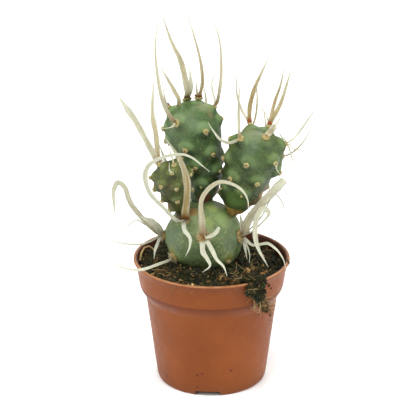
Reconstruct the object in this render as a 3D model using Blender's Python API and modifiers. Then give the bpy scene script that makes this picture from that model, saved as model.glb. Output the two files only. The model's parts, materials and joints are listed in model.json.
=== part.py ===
"""A paper spine cactus growing in a small nursery pot.

Four stem joints, each with its tubercles, woolly areoles and papery spines in one solid,
stand in a pit in the peat. The peat fills a thin-walled plastic pot. Lengths below are
millimetres, with the origin on the ground under the middle of the pot, +X to the right as
the plant is looked at, and +Y away from the viewer.
"""
import math
import random
from collections import namedtuple

import bmesh
import bpy
from mathutils import Matrix, Vector, noise

MM = 0.001
SEED = 11
GAP = 0.3

# Pot
POT_HEIGHT = 70.0
LIP_RADIUS = 42.5
WALL = 1.2
FOOT_RADIUS = 29.7
BODY_TAPER = 0.128
SHOULDER_LOW = 47.5
SHOULDER_HIGH = 56.0
BAND_RADIUS = 39.4
BAND_TOP = 65.5
BAND_TOP_RADIUS = 40.9
FLOOR_UNDER = 3.0
FLOOR_TOP = 4.2
FOOT_RING_INNER = 27.6
POT_STEPS = 48
NOTCH_BEARINGS = (266, 26, 146)
NOTCH_TOP_WIDTH = 12.4
NOTCH_FOOT_WIDTH = 16.0
NOTCH_HEIGHT = 2.8
NOTCH_LENGTH = 14.0
NOTCH_UNDER = 2.0
DRAIN_COUNT = 6
DRAIN_CIRCLE = 18.5
DRAIN_RADIUS = 2.6
DRAIN_SIDES = 10
DRAIN_CUT = 4.0

# Peat
SOIL_STEPS = 48
SOIL_RINGS = (37.4, 34.0, 30.0, 25.5, 21.0, 16.0, 8.0)
SOIL_SIDE = 66.0
SOIL_TILT = 1.3
SOIL_FRONT_RISE = 3.2
SOIL_MOUND = 11.0
SOIL_MOUND_REACH = 34.0
SOIL_MOUND_PLACE = (-5.0, -2.0)
SOIL_HIGHEST = 70.5
SOIL_LUMP = 1.3
SOIL_LUMP_SCALE = 0.17
SOIL_CRUMB_SCALE = 0.39
SOIL_EDGE_GAP = 0.4
CLUMP_LUMPS = (
    ((20.4, -33.6, 69.6), 4.6),
    ((24.4, -36.0, 69.8), 4.4),
    ((21.6, -38.0, 67.2), 4.1),
    ((25.0, -36.2, 64.0), 3.7),
    ((24.9, -34.2, 60.4), 2.4),
    ((25.9, -32.2, 57.8), 2.4),
    ((27.1, -29.6, 54.7), 2.4),
    ((28.0, -26.9, 51.9), 2.4),
    ((28.8, -24.6, 49.3), 2.2),
)
CLUMP_FOOT = 44.0
CLUMP_ROUGHNESS = 0.4
CLUMP_ROUGH_SCALE = 0.4

# Stem joints: egg is how much wider the upper half is than the lower one, blunt is the power of
# its lower and upper ends (2 is an ellipse), and bow moves its middle sideways. The neck is a corky
# ball at its foot. Areoles are (bearing, height) on a unit sphere that is stretched to the joint.
# The far fields rule the side out of sight: how many areoles a whole joint would have, the heights
# above which areoles and spines grow, the spines in each, and their lengths.
Joint = namedtuple(
    "Joint",
    "root tip radius egg blunt bow neck neck_radius sides rings bump reach pad_radius pad_rise"
    " far_count far_foot far_lowest far_each far_length areoles",
)
BASE = Joint(
    root=(-4.0, 0.0, 61.0),
    tip=(-4.0, 0.0, 101.5),
    radius=20.8,
    egg=0.0,
    blunt=(2.0, 2.0),
    bow=0.0,
    neck=None,
    neck_radius=0.0,
    sides=32,
    rings=20,
    bump=1.0,
    reach=8.5,
    pad_radius=1.7,
    pad_rise=1.2,
    far_count=13,
    far_foot=0.1,
    far_lowest=0.1,
    far_each=3,
    far_length=(24.0, 42.0),
    areoles={
        "front": (-91, 0.37),
        "right": (-25, 0.20),
        "left": (181, 0.05),
        "upper_left": (-127, 0.69),
        "lower_left": (-143, -0.34),
        "lower_right": (-52, -0.36),
    },
)
CENTRE = Joint(
    root=(-3.2, 5.0, 101.1),
    tip=(-12.8, 9.0, 152.7),
    radius=14.0,
    egg=0.32,
    blunt=(3.4, 3.0),
    bow=0.9,
    neck=(-5.4, 5.0, 103.0),
    neck_radius=6.0,
    sides=32,
    rings=22,
    bump=2.0,
    reach=6.4,
    pad_radius=1.0,
    pad_rise=0.8,
    far_count=36,
    far_foot=-0.7,
    far_lowest=0.2,
    far_each=1,
    far_length=(24.0, 42.0),
    areoles={
        "apex": (42, 0.97),
        "crown_left": (92, 0.97),
        "crown_right": (4, 0.83),
        "back_left": (150, 0.86),
        "shoulder_left": (162, 0.93),
        "front_left": (-120, 0.78),
        "front_right": (-64, 0.54),
        "edge_left": (182, 0.62),
        "edge_low_left": (186, 0.38),
        "edge_right": (4, 0.60),
        "mid_left": (-112, 0.24),
        "mid_right": (-56, 0.04),
        "low": (-100, -0.16),
        "low_edge_right": (-40, -0.36),
        "neck": (-96, -0.58),
    },
)
RIGHT = Joint(
    root=(11.8, -1.4, 96.9),
    tip=(28.4, -8.6, 142.6),
    radius=14.0,
    egg=0.36,
    blunt=(3.2, 2.6),
    bow=-1.4,
    neck=(11.4, -1.4, 97.7),
    neck_radius=3.9,
    sides=32,
    rings=22,
    bump=2.0,
    reach=6.4,
    pad_radius=1.0,
    pad_rise=0.8,
    far_count=36,
    far_foot=-0.7,
    far_lowest=0.2,
    far_each=1,
    far_length=(24.0, 42.0),
    areoles={
        "crown_left": (134, 0.88),
        "crown_right": (82, 0.95),
        "top_front": (-96, 0.98),
        "shoulder_left": (-154, 0.80),
        "edge_right": (8, 0.86),
        "edge_left": (165, 0.56),
        "mid": (-108, 0.48),
        "mid_right": (-54, 0.66),
        "low_right_edge": (-16, 0.34),
        "mid_left": (-167, 0.24),
        "low_left": (-128, 0.0),
        "low_right": (-72, 0.14),
        "lobe_left": (-151, -0.40),
        "lobe": (-92, -0.28),
    },
)
LEFT = Joint(
    root=(-16.4, -8.0, 96.3),
    tip=(-22.3, -16.0, 128.3),
    radius=9.4,
    egg=0.7,
    blunt=(2.1, 2.6),
    bow=-0.2,
    neck=(-16.2, -7.8, 97.0),
    neck_radius=3.4,
    sides=26,
    rings=18,
    bump=1.8,
    reach=4.2,
    pad_radius=0.85,
    pad_rise=0.7,
    far_count=34,
    far_foot=-0.7,
    far_lowest=0.2,
    far_each=1,
    far_length=(9.0, 14.0),
    areoles={
        "crown_left": (-178, 0.97),
        "crown_front": (-50, 0.98),
        "front_high": (-80, 0.90),
        "crown_right": (0, 0.96),
        "edge_left": (-178, 0.64),
        "front_left": (-120, 0.62),
        "front": (-78, 0.50),
        "mid_left": (-144, -0.06),
        "mid": (-82, -0.04),
        "edge_low_left": (-164, 0.30),
        "right_high": (-20, 0.64),
        "right_low": (-6, 0.02),
        "low": (-146, -0.54),
    },
)

# Papery spines: the areole they grow from, their greatest width, points along them, how much of
# the length keeps its width, and whether the end is cut square
Spine = namedtuple("Spine", "areole width route full cut", defaults=(0.3, False))
CENTRE_SPINES = (
    Spine(
        "front_left",
        2.4,
        ((-24, -9, 157), (-27, -12, 169), (-29, -11, 187), (-28, -7, 200), (-24, -2, 209)),
        0.1,
    ),
    Spine("back_left", 2.4, ((-17, 10, 153), (-22, 12, 164), (-28, 13, 174)), 0.5),
    Spine("crown_left", 3.2, ((-13, 7, 162), (-16, 4, 178), (-21, 2, 190), (-26, -1, 206)), 0.4),
    Spine("crown_left", 2.6, ((-11, 10, 163), (-12, 11, 175)), 0.5),
    Spine("apex", 2.4, ((-5, 7, 166), (-6, 2, 180), (-10, -2, 197), (-14, -4, 210)), 0.1),
    Spine("apex", 1.4, ((-8, 10, 161), (-8, 11, 167))),
    Spine("crown_right", 1.8, ((4, 5, 162), (5, 4, 174), (4, 4, 190), (-1, 1, 206))),
    Spine("crown_right", 1.2, ((0, 15, 163), (4, 16, 174))),
    Spine("shoulder_left", 0.9, ((-25, 8, 158), (-27, 10, 172))),
    Spine("front_left", 1.0, ((-21, -10, 147), (-26, -9, 146))),
)
RIGHT_SPINES = (
    Spine("crown_left", 2.4, ((20, 2, 154), (23, -1, 167), (30, -4, 184)), 0.5),
    Spine("shoulder_left", 1.6, ((14, -11, 152), (14, -13, 164), (15, -13, 177))),
    Spine("crown_left", 1.4, ((16, 6, 151), (13, 8, 162), (14, 8, 176))),
    Spine("crown_right", 1.8, ((33, 3, 156), (36, 0, 167), (38, -3, 180)), 0.4),
    Spine("crown_right", 2.4, ((36, 6, 154), (39, 7, 163), (42, 7, 175)), 0.4),
    Spine("top_front", 3.4, ((30, -13, 145), (33, -15, 150)), 0.8, True),
    Spine("top_front", 1.2, ((32, -10, 146), (35, -10, 151), (39, -11, 158))),
    Spine("edge_right", 1.0, ((45, -2, 140), (52, -5, 152), (59, -6, 163)), 0.5),
    Spine("edge_right", 0.8, ((45, 2, 130), (53, 3, 130)), 0.5),
    Spine("edge_right", 0.8, ((42, -3, 129), (46, -6, 119)), 0.5),
    Spine("edge_right", 0.8, ((37, -2, 139), (34, -3, 144)), 0.5),
    Spine("shoulder_left", 1.8, ((11, -12, 139), (4, -14, 142), (-2, -14, 151))),
    Spine("crown_right", 0.8, ((28, 3, 151), (23, 4, 157))),
    Spine("mid_right", 1.0, ((34, -15, 125), (38, -16, 121))),
)
LEFT_SPINES = (
    Spine("crown_left", 3.0, ((-32, -20, 139), (-39, -22, 154), (-48, -22, 168)), 0.8),
    Spine("crown_left", 2.8, ((-29, -15, 144), (-31, -11, 156), (-30, -7, 173)), 0.5),
    Spine("front_high", 1.0, ((-22, -26, 129), (-22, -26, 133))),
    Spine("crown_front", 0.9, ((-21, -17, 133), (-22, -18, 138), (-24, -19, 143))),
)
BASE_SPINES = (
    Spine(
        "upper_left",
        4.0,
        ((-14, -19, 103), (-13, -24, 114), (-13, -27, 124), (-16, -29, 135), (-24, -29, 148)),
        0.55,
    ),
    Spine(
        "upper_left",
        2.4,
        (
            (-18, -19, 98),
            (-26, -21, 107),
            (-33, -24, 117),
            (-34, -28, 130),
            (-26, -32, 138),
            (-13, -31, 139),
            (-1, -23, 127),
        ),
        0.6,
    ),
    Spine("upper_left", 2.4, ((-15, -19, 94), (-11, -23, 88), (-14, -25, 80)), 0.4),
    Spine(
        "left",
        2.8,
        (
            (-35, -6, 92),
            (-43, -9, 104),
            (-46, -11, 114),
            (-50, -12, 117),
            (-52, -13, 111),
            (-51, -14, 97),
        ),
        0.7,
    ),
    Spine("left", 4.0, ((-30, -7, 91), (-38, -10, 97)), 0.7),
    Spine("left", 1.0, ((-36, -9, 81), (-46, -12, 82), (-55, -13, 84), (-60, -15, 80)), 0.6),
    Spine("left", 0.8, ((-36, -4, 90), (-41, -8, 94), (-49, -11, 88), (-58, -12, 85)), 0.6),
    Spine("left", 1.8, ((-30, -8, 78), (-31, -11, 73)), 0.6),
    Spine(
        "lower_left",
        1.6,
        ((-28, -23, 75), (-38, -31, 75), (-48, -34, 78), (-51, -35, 83), (-49, -35, 88)),
        0.5,
    ),
    Spine(
        "front",
        3.4,
        (
            (-5, -24, 99),
            (-5, -27, 114),
            (4, -30, 124),
            (15, -30, 120),
            (19, -28, 111),
            (18, -26, 101),
        ),
        0.15,
    ),
    Spine("front", 2.2, ((1, -24, 92), (4, -26, 97)), 0.8, True),
    Spine("front", 2.8, ((-5, -24, 84), (-3, -27, 80), (0, -30, 78), (-5, -32, 74)), 0.4),
    Spine("front", 2.4, ((-1, -24, 86), (2, -29, 81), (6, -33, 78), (8, -37, 74)), 0.4),
    Spine("right", 4.4, ((20, -13, 97), (28, -17, 109), (38, -21, 122)), 0.9, True),
    Spine(
        "right",
        2.8,
        (
            (22, -13, 90),
            (30, -17, 101),
            (26, -19, 105),
            (23, -20, 96),
            (24, -22, 85),
            (30, -25, 74),
        ),
        0.7,
    ),
    Spine("right", 2.2, ((18, -11, 78), (19, -12, 73))),
    Spine("right", 1.2, ((20, -13, 78), (20, -17, 73))),
    Spine("right", 1.6, ((22, -14, 82), (30, -19, 85), (37, -27, 81), (39, -32, 75)), 0.5),
    Spine("right", 2.2, ((16, -10, 92), (15, -11, 99)), 0.6),
    Spine("right", 0.8, ((26, -10, 96), (33, -9, 109), (38, -11, 104), (38, -13, 98), (35, -13, 91)), 0.7),
)
SPINE_THICKNESS = 0.7
SPINE_NARROWEST = 0.72
SPINE_STATION = 5.2
SPINE_SUNK = 1.2
SPINE_ROOT_SHARES = (0.6, 0.85)
VIEWER = Vector((0.0, -0.93, 0.36))

# Out of the viewer's sight the areoles follow the golden angle. Those above a height may bear a
# spine, if one of a few tries stays over the pot and clear of the other joints and their spines.
FAR_WIDTH = (1.0, 2.8)
FAR_SPACING = 0.8
FAR_OUT_OF_VIEW = 0.15
FAR_RISE = 0.8
FAR_SPREAD = 0.3
FAR_CURL = 0.3
FAR_LEGS = 4
FAR_TRIES = 20
FAR_BACK = 41.0
FAR_SIDE = 55.0
FAR_TOP = 204.0
FAR_FROM_JOINT = 3.5
FAR_FROM_SPINE = 5.0
GOLDEN_ANGLE = math.radians(137.508)

# Each joint with its spines and the areoles that stand out like small stalks
JOINTS = {
    "base_segment": (BASE, BASE_SPINES, ()),
    "centre_segment": (CENTRE, CENTRE_SPINES, ("apex", "shoulder_left")),
    "right_segment": (RIGHT, RIGHT_SPINES, ("crown_left", "crown_right")),
    "left_segment": (LEFT, LEFT_SPINES, ()),
}
CARRIER = "base_segment"
SKIN_COLOURS = {
    "base_segment": (0.20, 0.29, 0.15),
    "centre_segment": (0.10, 0.19, 0.10),
    "right_segment": (0.10, 0.18, 0.09),
    "left_segment": (0.07, 0.11, 0.03),
}
PAD_SIDES = 7
PAD_SUNK = 1.0
TALL_PAD = 2.8


def new_collection(name):
    collection = bpy.data.collections.new(name)
    bpy.context.scene.collection.children.link(collection)
    return collection


def add_object(name, mesh, collection):
    obj = bpy.data.objects.new(name, mesh)
    collection.objects.link(obj)
    return obj


def mesh_from(bm, name):
    """A mesh in metres from a bmesh in millimetres."""
    bmesh.ops.scale(bm, vec=(MM, MM, MM), verts=bm.verts)
    bmesh.ops.recalc_face_normals(bm, faces=bm.faces)
    mesh = bpy.data.meshes.new(name)
    bm.to_mesh(mesh)
    bm.free()
    return mesh


def plain_material(name, colour, roughness):
    material = bpy.data.materials.new(name)
    material.use_nodes = True
    shader = material.node_tree.nodes["Principled BSDF"]
    shader.inputs["Base Color"].default_value = (*colour, 1.0)
    shader.inputs["Roughness"].default_value = roughness
    shader.inputs["Metallic"].default_value = 0.0
    return material


def apply_modifiers(obj):
    """Replaces the object's mesh by its evaluated one and clears its modifiers."""
    bpy.context.view_layer.update()
    graph = bpy.context.evaluated_depsgraph_get()
    mesh = bpy.data.meshes.new_from_object(obj.evaluated_get(graph))
    obj.modifiers.clear()
    obj.data = mesh


def remove_collection(collection):
    for obj in list(collection.objects):
        bpy.data.objects.remove(obj)
    bpy.data.collections.remove(collection)


def boolean(obj, name, operation, cutters):
    modifier = obj.modifiers.new(name, "BOOLEAN")
    modifier.operation = operation
    modifier.solver = "EXACT"
    modifier.operand_type = "COLLECTION"
    modifier.collection = cutters
    return modifier


def smooth(obj, degrees):
    obj.data.shade_smooth()
    obj.data.set_sharp_from_angle(angle=math.radians(degrees))


class JointShape:
    """The skin of one stem joint: an egg of revolution raised into a tubercle at each areole."""

    def __init__(self, joint):
        self.joint = joint
        self.root = Vector(joint.root)
        self.axis = Vector(joint.tip) - self.root
        self.turn = Vector((0, 0, 1)).rotation_difference(self.axis).to_matrix()
        self.bow = Vector((joint.bow, 0, 0))
        heights = [step / 200 for step in range(-199, 200)]
        self.fullest = max(self.profile(height) for height in heights)
        self.near = {name: direction(*place) for name, place in joint.areoles.items()}
        self.far = self.far_areoles()
        self.peaks = [self.skin(way) for way in [*self.near.values(), *self.far]]

    def profile(self, height):
        blunt = self.joint.blunt[height > 0]
        round_end = max(0.0, 1 - abs(height) ** blunt) ** (1 / blunt)
        return round_end * (1 + self.joint.egg * height)

    def skin(self, way):
        """The point of the smooth egg for a unit direction."""
        flat = Vector((way.x, way.y, 0))
        if flat.length > 0:
            flat.normalize()
        across = self.joint.radius * self.profile(way.z) / self.fullest
        along = (way.z + 1) / 2
        local = Vector((flat.x * across, flat.y * across, self.axis.length * along))
        return self.root + self.turn @ local + self.bow * 4 * along * (1 - along)

    def outward(self, way):
        """The outward normal of the smooth egg for a unit direction."""
        side = way.orthogonal().normalized()
        other = way.cross(side)
        step = 0.02
        along = self.skin((way + side * step).normalized()) - self.skin((way - side * step).normalized())
        over = self.skin((way + other * step).normalized()) - self.skin((way - other * step).normalized())
        return along.cross(over).normalized()

    def far_areoles(self):
        """Areoles out of sight follow the golden angle, where none is placed already."""
        joint = self.joint
        spacing = FAR_SPACING * math.sqrt(4 * math.pi / joint.far_count)
        placed = list(self.near.values())
        found = []
        for index in range(joint.far_count):
            height = 1 - 2 * (index + 0.5) / joint.far_count
            way = direction(math.degrees(index * GOLDEN_ANGLE), height)
            in_view = (self.turn @ way).dot(VIEWER) > FAR_OUT_OF_VIEW
            is_free = all(way.angle(other) > spacing for other in placed)
            if height > joint.far_foot and is_free and not in_view:
                found.append(way)
        return found

    def point(self, way, lift=0.0):
        """The point of the finished skin, with its tubercles."""
        base = self.skin(way)
        rise = 0.0
        for peak in self.peaks:
            share = (base - peak).length / self.joint.reach
            if share < 1:
                rise = max(rise, self.joint.bump * (1 - share * share) ** 2)
        return base + self.outward(way) * (rise + lift)

    def holds(self, place, margin):
        """Whether a place lies within the joint, or closer to its side than the margin."""
        along = (place - self.root).dot(self.axis) / self.axis.length_squared
        height = max(-0.95, min(0.95, 2 * along - 1))
        reach = self.joint.radius * self.profile(height) / self.fullest + self.joint.bump + margin
        beyond = margin / self.axis.length
        return -beyond < along < 1 + beyond and (place - self.root - self.axis * along).length < reach


def direction(bearing, height):
    """A unit direction from a bearing in degrees and a height from -1 to 1."""
    flat = math.sqrt(1 - height * height)
    angle = math.radians(bearing)
    return Vector((flat * math.cos(angle), flat * math.sin(angle), height))


def joint_mesh(shape, name, lift=0.0):
    bm = bmesh.new()
    bmesh.ops.create_uvsphere(
        bm, u_segments=shape.joint.sides, v_segments=shape.joint.rings, radius=1.0
    )
    for vert in bm.verts:
        vert.co = shape.point(vert.co.normalized(), lift)
    return mesh_from(bm, name)


def pad_mesh(shape, way, tall):
    """A woolly areole: a low blunt cone sunk into the top of its tubercle."""
    joint = shape.joint
    rise = joint.pad_rise * tall
    bm = bmesh.new()
    bmesh.ops.create_cone(
        bm,
        cap_ends=True,
        segments=PAD_SIDES,
        radius1=joint.pad_radius * 1.15,
        radius2=joint.pad_radius * 0.6,
        depth=rise + PAD_SUNK,
    )
    upright = shape.outward(way).to_track_quat("Z", "Y").to_matrix().to_4x4()
    place = Matrix.Translation(shape.point(way, (rise - PAD_SUNK) / 2))
    bmesh.ops.transform(bm, matrix=place @ upright, verts=bm.verts)
    return mesh_from(bm, "areole")


def smooth_route(points):
    """Points evenly along a Catmull-Rom curve through the given ones."""
    knots = [2 * points[0] - points[1], *points, 2 * points[-1] - points[-2]]
    fine = []
    for before, start, end, after in zip(knots, knots[1:], knots[2:], knots[3:]):
        for step in range(12):
            t = step / 12
            bend = (2 * before - 5 * start + 4 * end - after) * t * t
            twist = (3 * start - before - 3 * end + after) * t ** 3
            fine.append(0.5 * (2 * start + (end - before) * t + bend + twist))
    fine.append(points[-1])
    run = [0.0]
    for a, b in zip(fine, fine[1:]):
        run.append(run[-1] + (b - a).length)
    count = max(5, round(run[-1] / SPINE_STATION) + 1)
    route = []
    index = 0
    for step in range(count):
        wanted = run[-1] * step / (count - 1)
        while index < len(run) - 2 and run[index + 1] < wanted:
            index += 1
        share = (wanted - run[index]) / (run[index + 1] - run[index])
        route.append(fine[index].lerp(fine[index + 1], min(1.0, share)))
    return route


def blade_frames(route, facing):
    """Width and face directions along the blade, which faces a given way at its middle."""
    ends = len(route) - 1
    ways = [(route[min(i + 1, ends)] - route[max(i - 1, 0)]).normalized() for i in range(len(route))]
    middle = len(route) // 2
    faces = [None] * len(route)
    faces[middle] = (facing - ways[middle] * facing.dot(ways[middle])).normalized()
    for order in (range(middle + 1, len(route)), range(middle - 1, -1, -1)):
        last = faces[middle]
        for i in order:
            last = (last - ways[i] * last.dot(ways[i])).normalized()
            faces[i] = last
    return [(way.cross(face), face) for way, face in zip(ways, faces)]


Blade = namedtuple("Blade", "route width full cut facing")


def blade_mesh(blade):
    """A papery spine: a lens-shaped blade lofted along its route to a point, or cut square."""
    last = len(blade.route) - 1
    bm = bmesh.new()
    rings = []
    frames = blade_frames(blade.route, blade.facing)
    for i, (place, (across, face)) in enumerate(zip(blade.route, frames)):
        share = 1.0
        if i < len(SPINE_ROOT_SHARES):
            share = SPINE_ROOT_SHARES[i]
        if not blade.cut:
            share *= min(1.0, ((1 - i / last) / (1 - blade.full)) ** 0.8)
        half = max(SPINE_NARROWEST, blade.width * share) / 2
        thick = SPINE_THICKNESS / 2
        corners = (across * half, face * thick, -across * half, -face * thick)
        rings.append([place + corner for corner in corners])
    tip = blade.route[-1]
    if not blade.cut:
        rings.pop()
    rings = [[bm.verts.new(place) for place in ring] for ring in rings]
    bm.faces.new(rings[0])
    for lower, upper in zip(rings, rings[1:]):
        for k in range(4):
            a, b = lower[k], lower[(k + 1) % 4]
            c, d = upper[(k + 1) % 4], upper[k]
            # The diagonal starts at the blade's edge on both faces
            if k % 2 == 0:
                bm.faces.new((a, b, c))
                bm.faces.new((a, c, d))
            else:
                bm.faces.new((a, b, d))
                bm.faces.new((b, c, d))
    if blade.cut:
        bm.faces.new(rings[-1])
    else:
        point = bm.verts.new(tip)
        for k in range(4):
            bm.faces.new((rings[-1][k], rings[-1][(k + 1) % 4], point))
    return mesh_from(bm, "spine")


def placed_blade(shape, spine):
    way = shape.near[spine.areole]
    root = [shape.point(way, -SPINE_SUNK), shape.point(way, 1.0)]
    route = smooth_route(root + [Vector(place) for place in spine.route])
    return Blade(route, spine.width, spine.full, spine.cut, VIEWER)


def far_blade(shape, way, draw):
    """A spine on the far side, bending upwards from its areole."""
    outward = shape.outward(way)
    length = draw.uniform(*shape.joint.far_length)
    heading = (outward + FAR_RISE * shape.axis.normalized()).normalized()
    spread = Vector((draw.uniform(-1, 1), draw.uniform(-0.6, 0.3), draw.uniform(-0.3, 0.6)))
    heading = (heading + FAR_SPREAD * spread).normalized()
    curl = FAR_CURL * Vector((draw.uniform(-1, 1), draw.uniform(-1, 0), 1.2))
    route = [shape.point(way, -SPINE_SUNK), shape.point(way, 1.0)]
    for _ in range(FAR_LEGS):
        route.append(route[-1] + heading * length / FAR_LEGS)
        heading = (heading + curl).normalized()
    return Blade(smooth_route(route), draw.uniform(*FAR_WIDTH), 0.3, False, outward)


def is_clear(route, shapes, spines):
    """Whether a far spine stays over the pot and clear of the given joints and their spines."""
    for place in route:
        if place.y > FAR_BACK or abs(place.x) > FAR_SIDE or place.z > FAR_TOP:
            return False
        if any(shape.holds(place, FAR_FROM_JOINT) for shape in shapes):
            return False
        if any((place - other).length < FAR_FROM_SPINE for other in spines):
            return False
    return True


def far_blades(name, shapes, blades):
    """The spines on the far side of one joint, which keep clear of the other joints."""
    draw = random.Random(SEED + len(name))
    others = [shape for other, shape in shapes.items() if other != name]
    taken = []
    for other, grown in blades.items():
        if other != name:
            taken.extend(place for blade in grown for place in blade.route)
    found = []
    for way in shapes[name].far:
        if way.z < shapes[name].joint.far_lowest:
            continue
        clear = []
        for _ in range(FAR_TRIES):
            blade = far_blade(shapes[name], way, draw)
            if is_clear(blade.route, others, taken):
                clear.append(blade)
        found += clear[:shapes[name].joint.far_each]
    return found


def neck_mesh(joint):
    bm = bmesh.new()
    bmesh.ops.create_icosphere(bm, subdivisions=2, radius=joint.neck_radius)
    bmesh.ops.translate(bm, vec=joint.neck, verts=bm.verts)
    return mesh_from(bm, "neck")


def grow_joint(name, shape, blades, tall_pads, collection):
    """One stem joint: skin, neck, areoles and spines joined into one solid."""
    body = add_object(name, joint_mesh(shape, name), collection)
    repeats = new_collection(name + "_repeats")
    if shape.joint.neck:
        add_object("neck", neck_mesh(shape.joint), repeats)
    for areole, way in shape.near.items():
        tall = TALL_PAD if areole in tall_pads else 1.0
        add_object("areole", pad_mesh(shape, way, tall), repeats)
    for way in shape.far:
        add_object("areole", pad_mesh(shape, way, 1.0), repeats)
    for blade in blades:
        add_object("spine", blade_mesh(blade), repeats)
    boolean(body, "grown together", "UNION", repeats)
    apply_modifiers(body)
    remove_collection(repeats)
    return body


def seat_on(body, carrier):
    """Cuts a joint where it meets the one that carries it, leaving a fine seam."""
    seats = new_collection("seat")
    add_object("seat", joint_mesh(carrier, "seat", GAP), seats)
    boolean(body, "seat", "DIFFERENCE", seats)
    apply_modifiers(body)
    remove_collection(seats)


def body_radius(height):
    return FOOT_RADIUS + BODY_TAPER * height


def outer_wall(grow=0.0):
    """The pot's outside from the lip down to the foot corner, as (radius, height)."""
    return [
        (LIP_RADIUS - 0.4 + grow, POT_HEIGHT + grow),
        (LIP_RADIUS + grow, POT_HEIGHT - 0.4 + grow / 2),
        (LIP_RADIUS + grow, POT_HEIGHT - 1.2 - grow / 2),
        (LIP_RADIUS - 0.9 + grow, POT_HEIGHT - 2.6),
        (BAND_TOP_RADIUS + grow, BAND_TOP),
        (BAND_RADIUS + grow, SHOULDER_HIGH),
        (BAND_RADIUS - 0.4 + grow, SHOULDER_HIGH - 2.0),
        (BAND_RADIUS - 2.2 + grow, SHOULDER_HIGH - 5.0),
        (BAND_RADIUS - 3.4 + grow, SHOULDER_HIGH - 7.0),
        (body_radius(SHOULDER_LOW) + grow, SHOULDER_LOW),
        (body_radius(2.4) + grow, 2.4),
        (body_radius(2.4) - 0.5 + grow, 0.8),
        (body_radius(2.4) - 1.2 + grow, 0.0),
    ]


def inner_wall(shrink=0.0):
    """The pot's inside from the floor up to the lip, as (radius, height)."""
    return [
        (body_radius(FLOOR_TOP) - WALL - 1.0 - shrink, FLOOR_TOP + shrink),
        (body_radius(FLOOR_TOP) - WALL - shrink, FLOOR_TOP + 1.2 + shrink),
        (body_radius(SHOULDER_LOW) - WALL - shrink, SHOULDER_LOW),
        (BAND_RADIUS - 2.2 - WALL * 1.3 - shrink, SHOULDER_HIGH - 4.6),
        (BAND_RADIUS - WALL - shrink, SHOULDER_HIGH - 0.6),
        (LIP_RADIUS - 1.8 - WALL - shrink, POT_HEIGHT - 3.2),
        (LIP_RADIUS - 1.9 - shrink, POT_HEIGHT),
    ]


def turned(name, profile, steps, collection):
    """A solid of revolution from (radius, height) points running down its outer side."""
    mesh = bpy.data.meshes.new(name)
    corners = [(radius * MM, 0.0, height * MM) for radius, height in profile]
    edges = [(i, i + 1) for i in range(len(corners) - 1)]
    mesh.from_pydata(corners, edges, [])
    obj = add_object(name, mesh, collection)
    screw = obj.modifiers.new("turn", "SCREW")
    screw.steps = steps
    screw.render_steps = steps
    screw.use_merge_vertices = True
    screw.merge_threshold = 0.00005
    return obj


def notch_mesh(bearing):
    """A wedge through the foot ring, wider at the ground than above."""
    flare = (NOTCH_FOOT_WIDTH - NOTCH_TOP_WIDTH) / NOTCH_HEIGHT
    under_width = NOTCH_FOOT_WIDTH + flare * NOTCH_UNDER
    bm = bmesh.new()
    bmesh.ops.create_cube(bm, size=1.0)
    for vert in bm.verts:
        above = vert.co.z > 0
        width = NOTCH_TOP_WIDTH if above else under_width
        height = NOTCH_HEIGHT if above else -NOTCH_UNDER
        vert.co = Vector((FOOT_RADIUS + vert.co.x * NOTCH_LENGTH, vert.co.y * width, height))
    turn = Matrix.Rotation(math.radians(bearing), 4, "Z")
    bmesh.ops.transform(bm, matrix=turn, verts=bm.verts)
    return mesh_from(bm, "foot notch")


def drain_mesh(index):
    angle = math.tau * (index + 0.5) / DRAIN_COUNT
    middle = (FLOOR_UNDER + FLOOR_TOP) / 2
    bm = bmesh.new()
    bmesh.ops.create_cone(
        bm,
        cap_ends=True,
        segments=DRAIN_SIDES,
        radius1=DRAIN_RADIUS,
        radius2=DRAIN_RADIUS,
        depth=DRAIN_CUT,
    )
    centre = (DRAIN_CIRCLE * math.cos(angle), DRAIN_CIRCLE * math.sin(angle), middle)
    bmesh.ops.translate(bm, vec=centre, verts=bm.verts)
    return mesh_from(bm, "drain hole")


def make_pot(collection):
    cutters = new_collection("cutters")
    under = [(FOOT_RING_INNER, 0.0), (FOOT_RING_INNER, FLOOR_UNDER), (0.0, FLOOR_UNDER)]
    profile = [(0.0, FLOOR_TOP), *inner_wall(), *outer_wall(), *under]
    pot = turned("pot", profile, POT_STEPS, collection)
    for bearing in NOTCH_BEARINGS:
        add_object("foot_notch", notch_mesh(bearing), cutters)
    for index in range(DRAIN_COUNT):
        add_object("drain_hole", drain_mesh(index), cutters)
    boolean(pot, "notches and drains", "DIFFERENCE", cutters)
    apply_modifiers(pot)
    remove_collection(cutters)
    pot.data.materials.append(plain_material("terracotta plastic", (0.40, 0.13, 0.05), 0.45))
    smooth(pot, 40)


def soil_height(x, y):
    """Height of the lumpy peat: nearly flush in front, higher at the left, mounded round the plant."""
    front = max(0.0, -y) / LIP_RADIUS
    away = math.hypot(x - SOIL_MOUND_PLACE[0], y - SOIL_MOUND_PLACE[1])
    near_plant = max(0.0, 1 - away / SOIL_MOUND_REACH)
    lump = noise.noise(Vector((x, y, 4.0)) * SOIL_LUMP_SCALE)
    lump += 0.5 * noise.noise(Vector((x, y, 9.0)) * SOIL_CRUMB_SCALE)
    level = SOIL_SIDE + SOIL_FRONT_RISE * front ** 1.5 + SOIL_MOUND * near_plant ** 1.2
    level -= SOIL_TILT * x / LIP_RADIUS
    return min(level, SOIL_HIGHEST) + SOIL_LUMP * lump


def inner_radius(height):
    """The pot's inner radius at a height in its upper band."""
    slope = (LIP_RADIUS - 1.8 - BAND_RADIUS) / (POT_HEIGHT - 2.6 - SHOULDER_HIGH)
    return BAND_RADIUS - WALL + slope * (height - SHOULDER_HIGH + 0.6)


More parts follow.
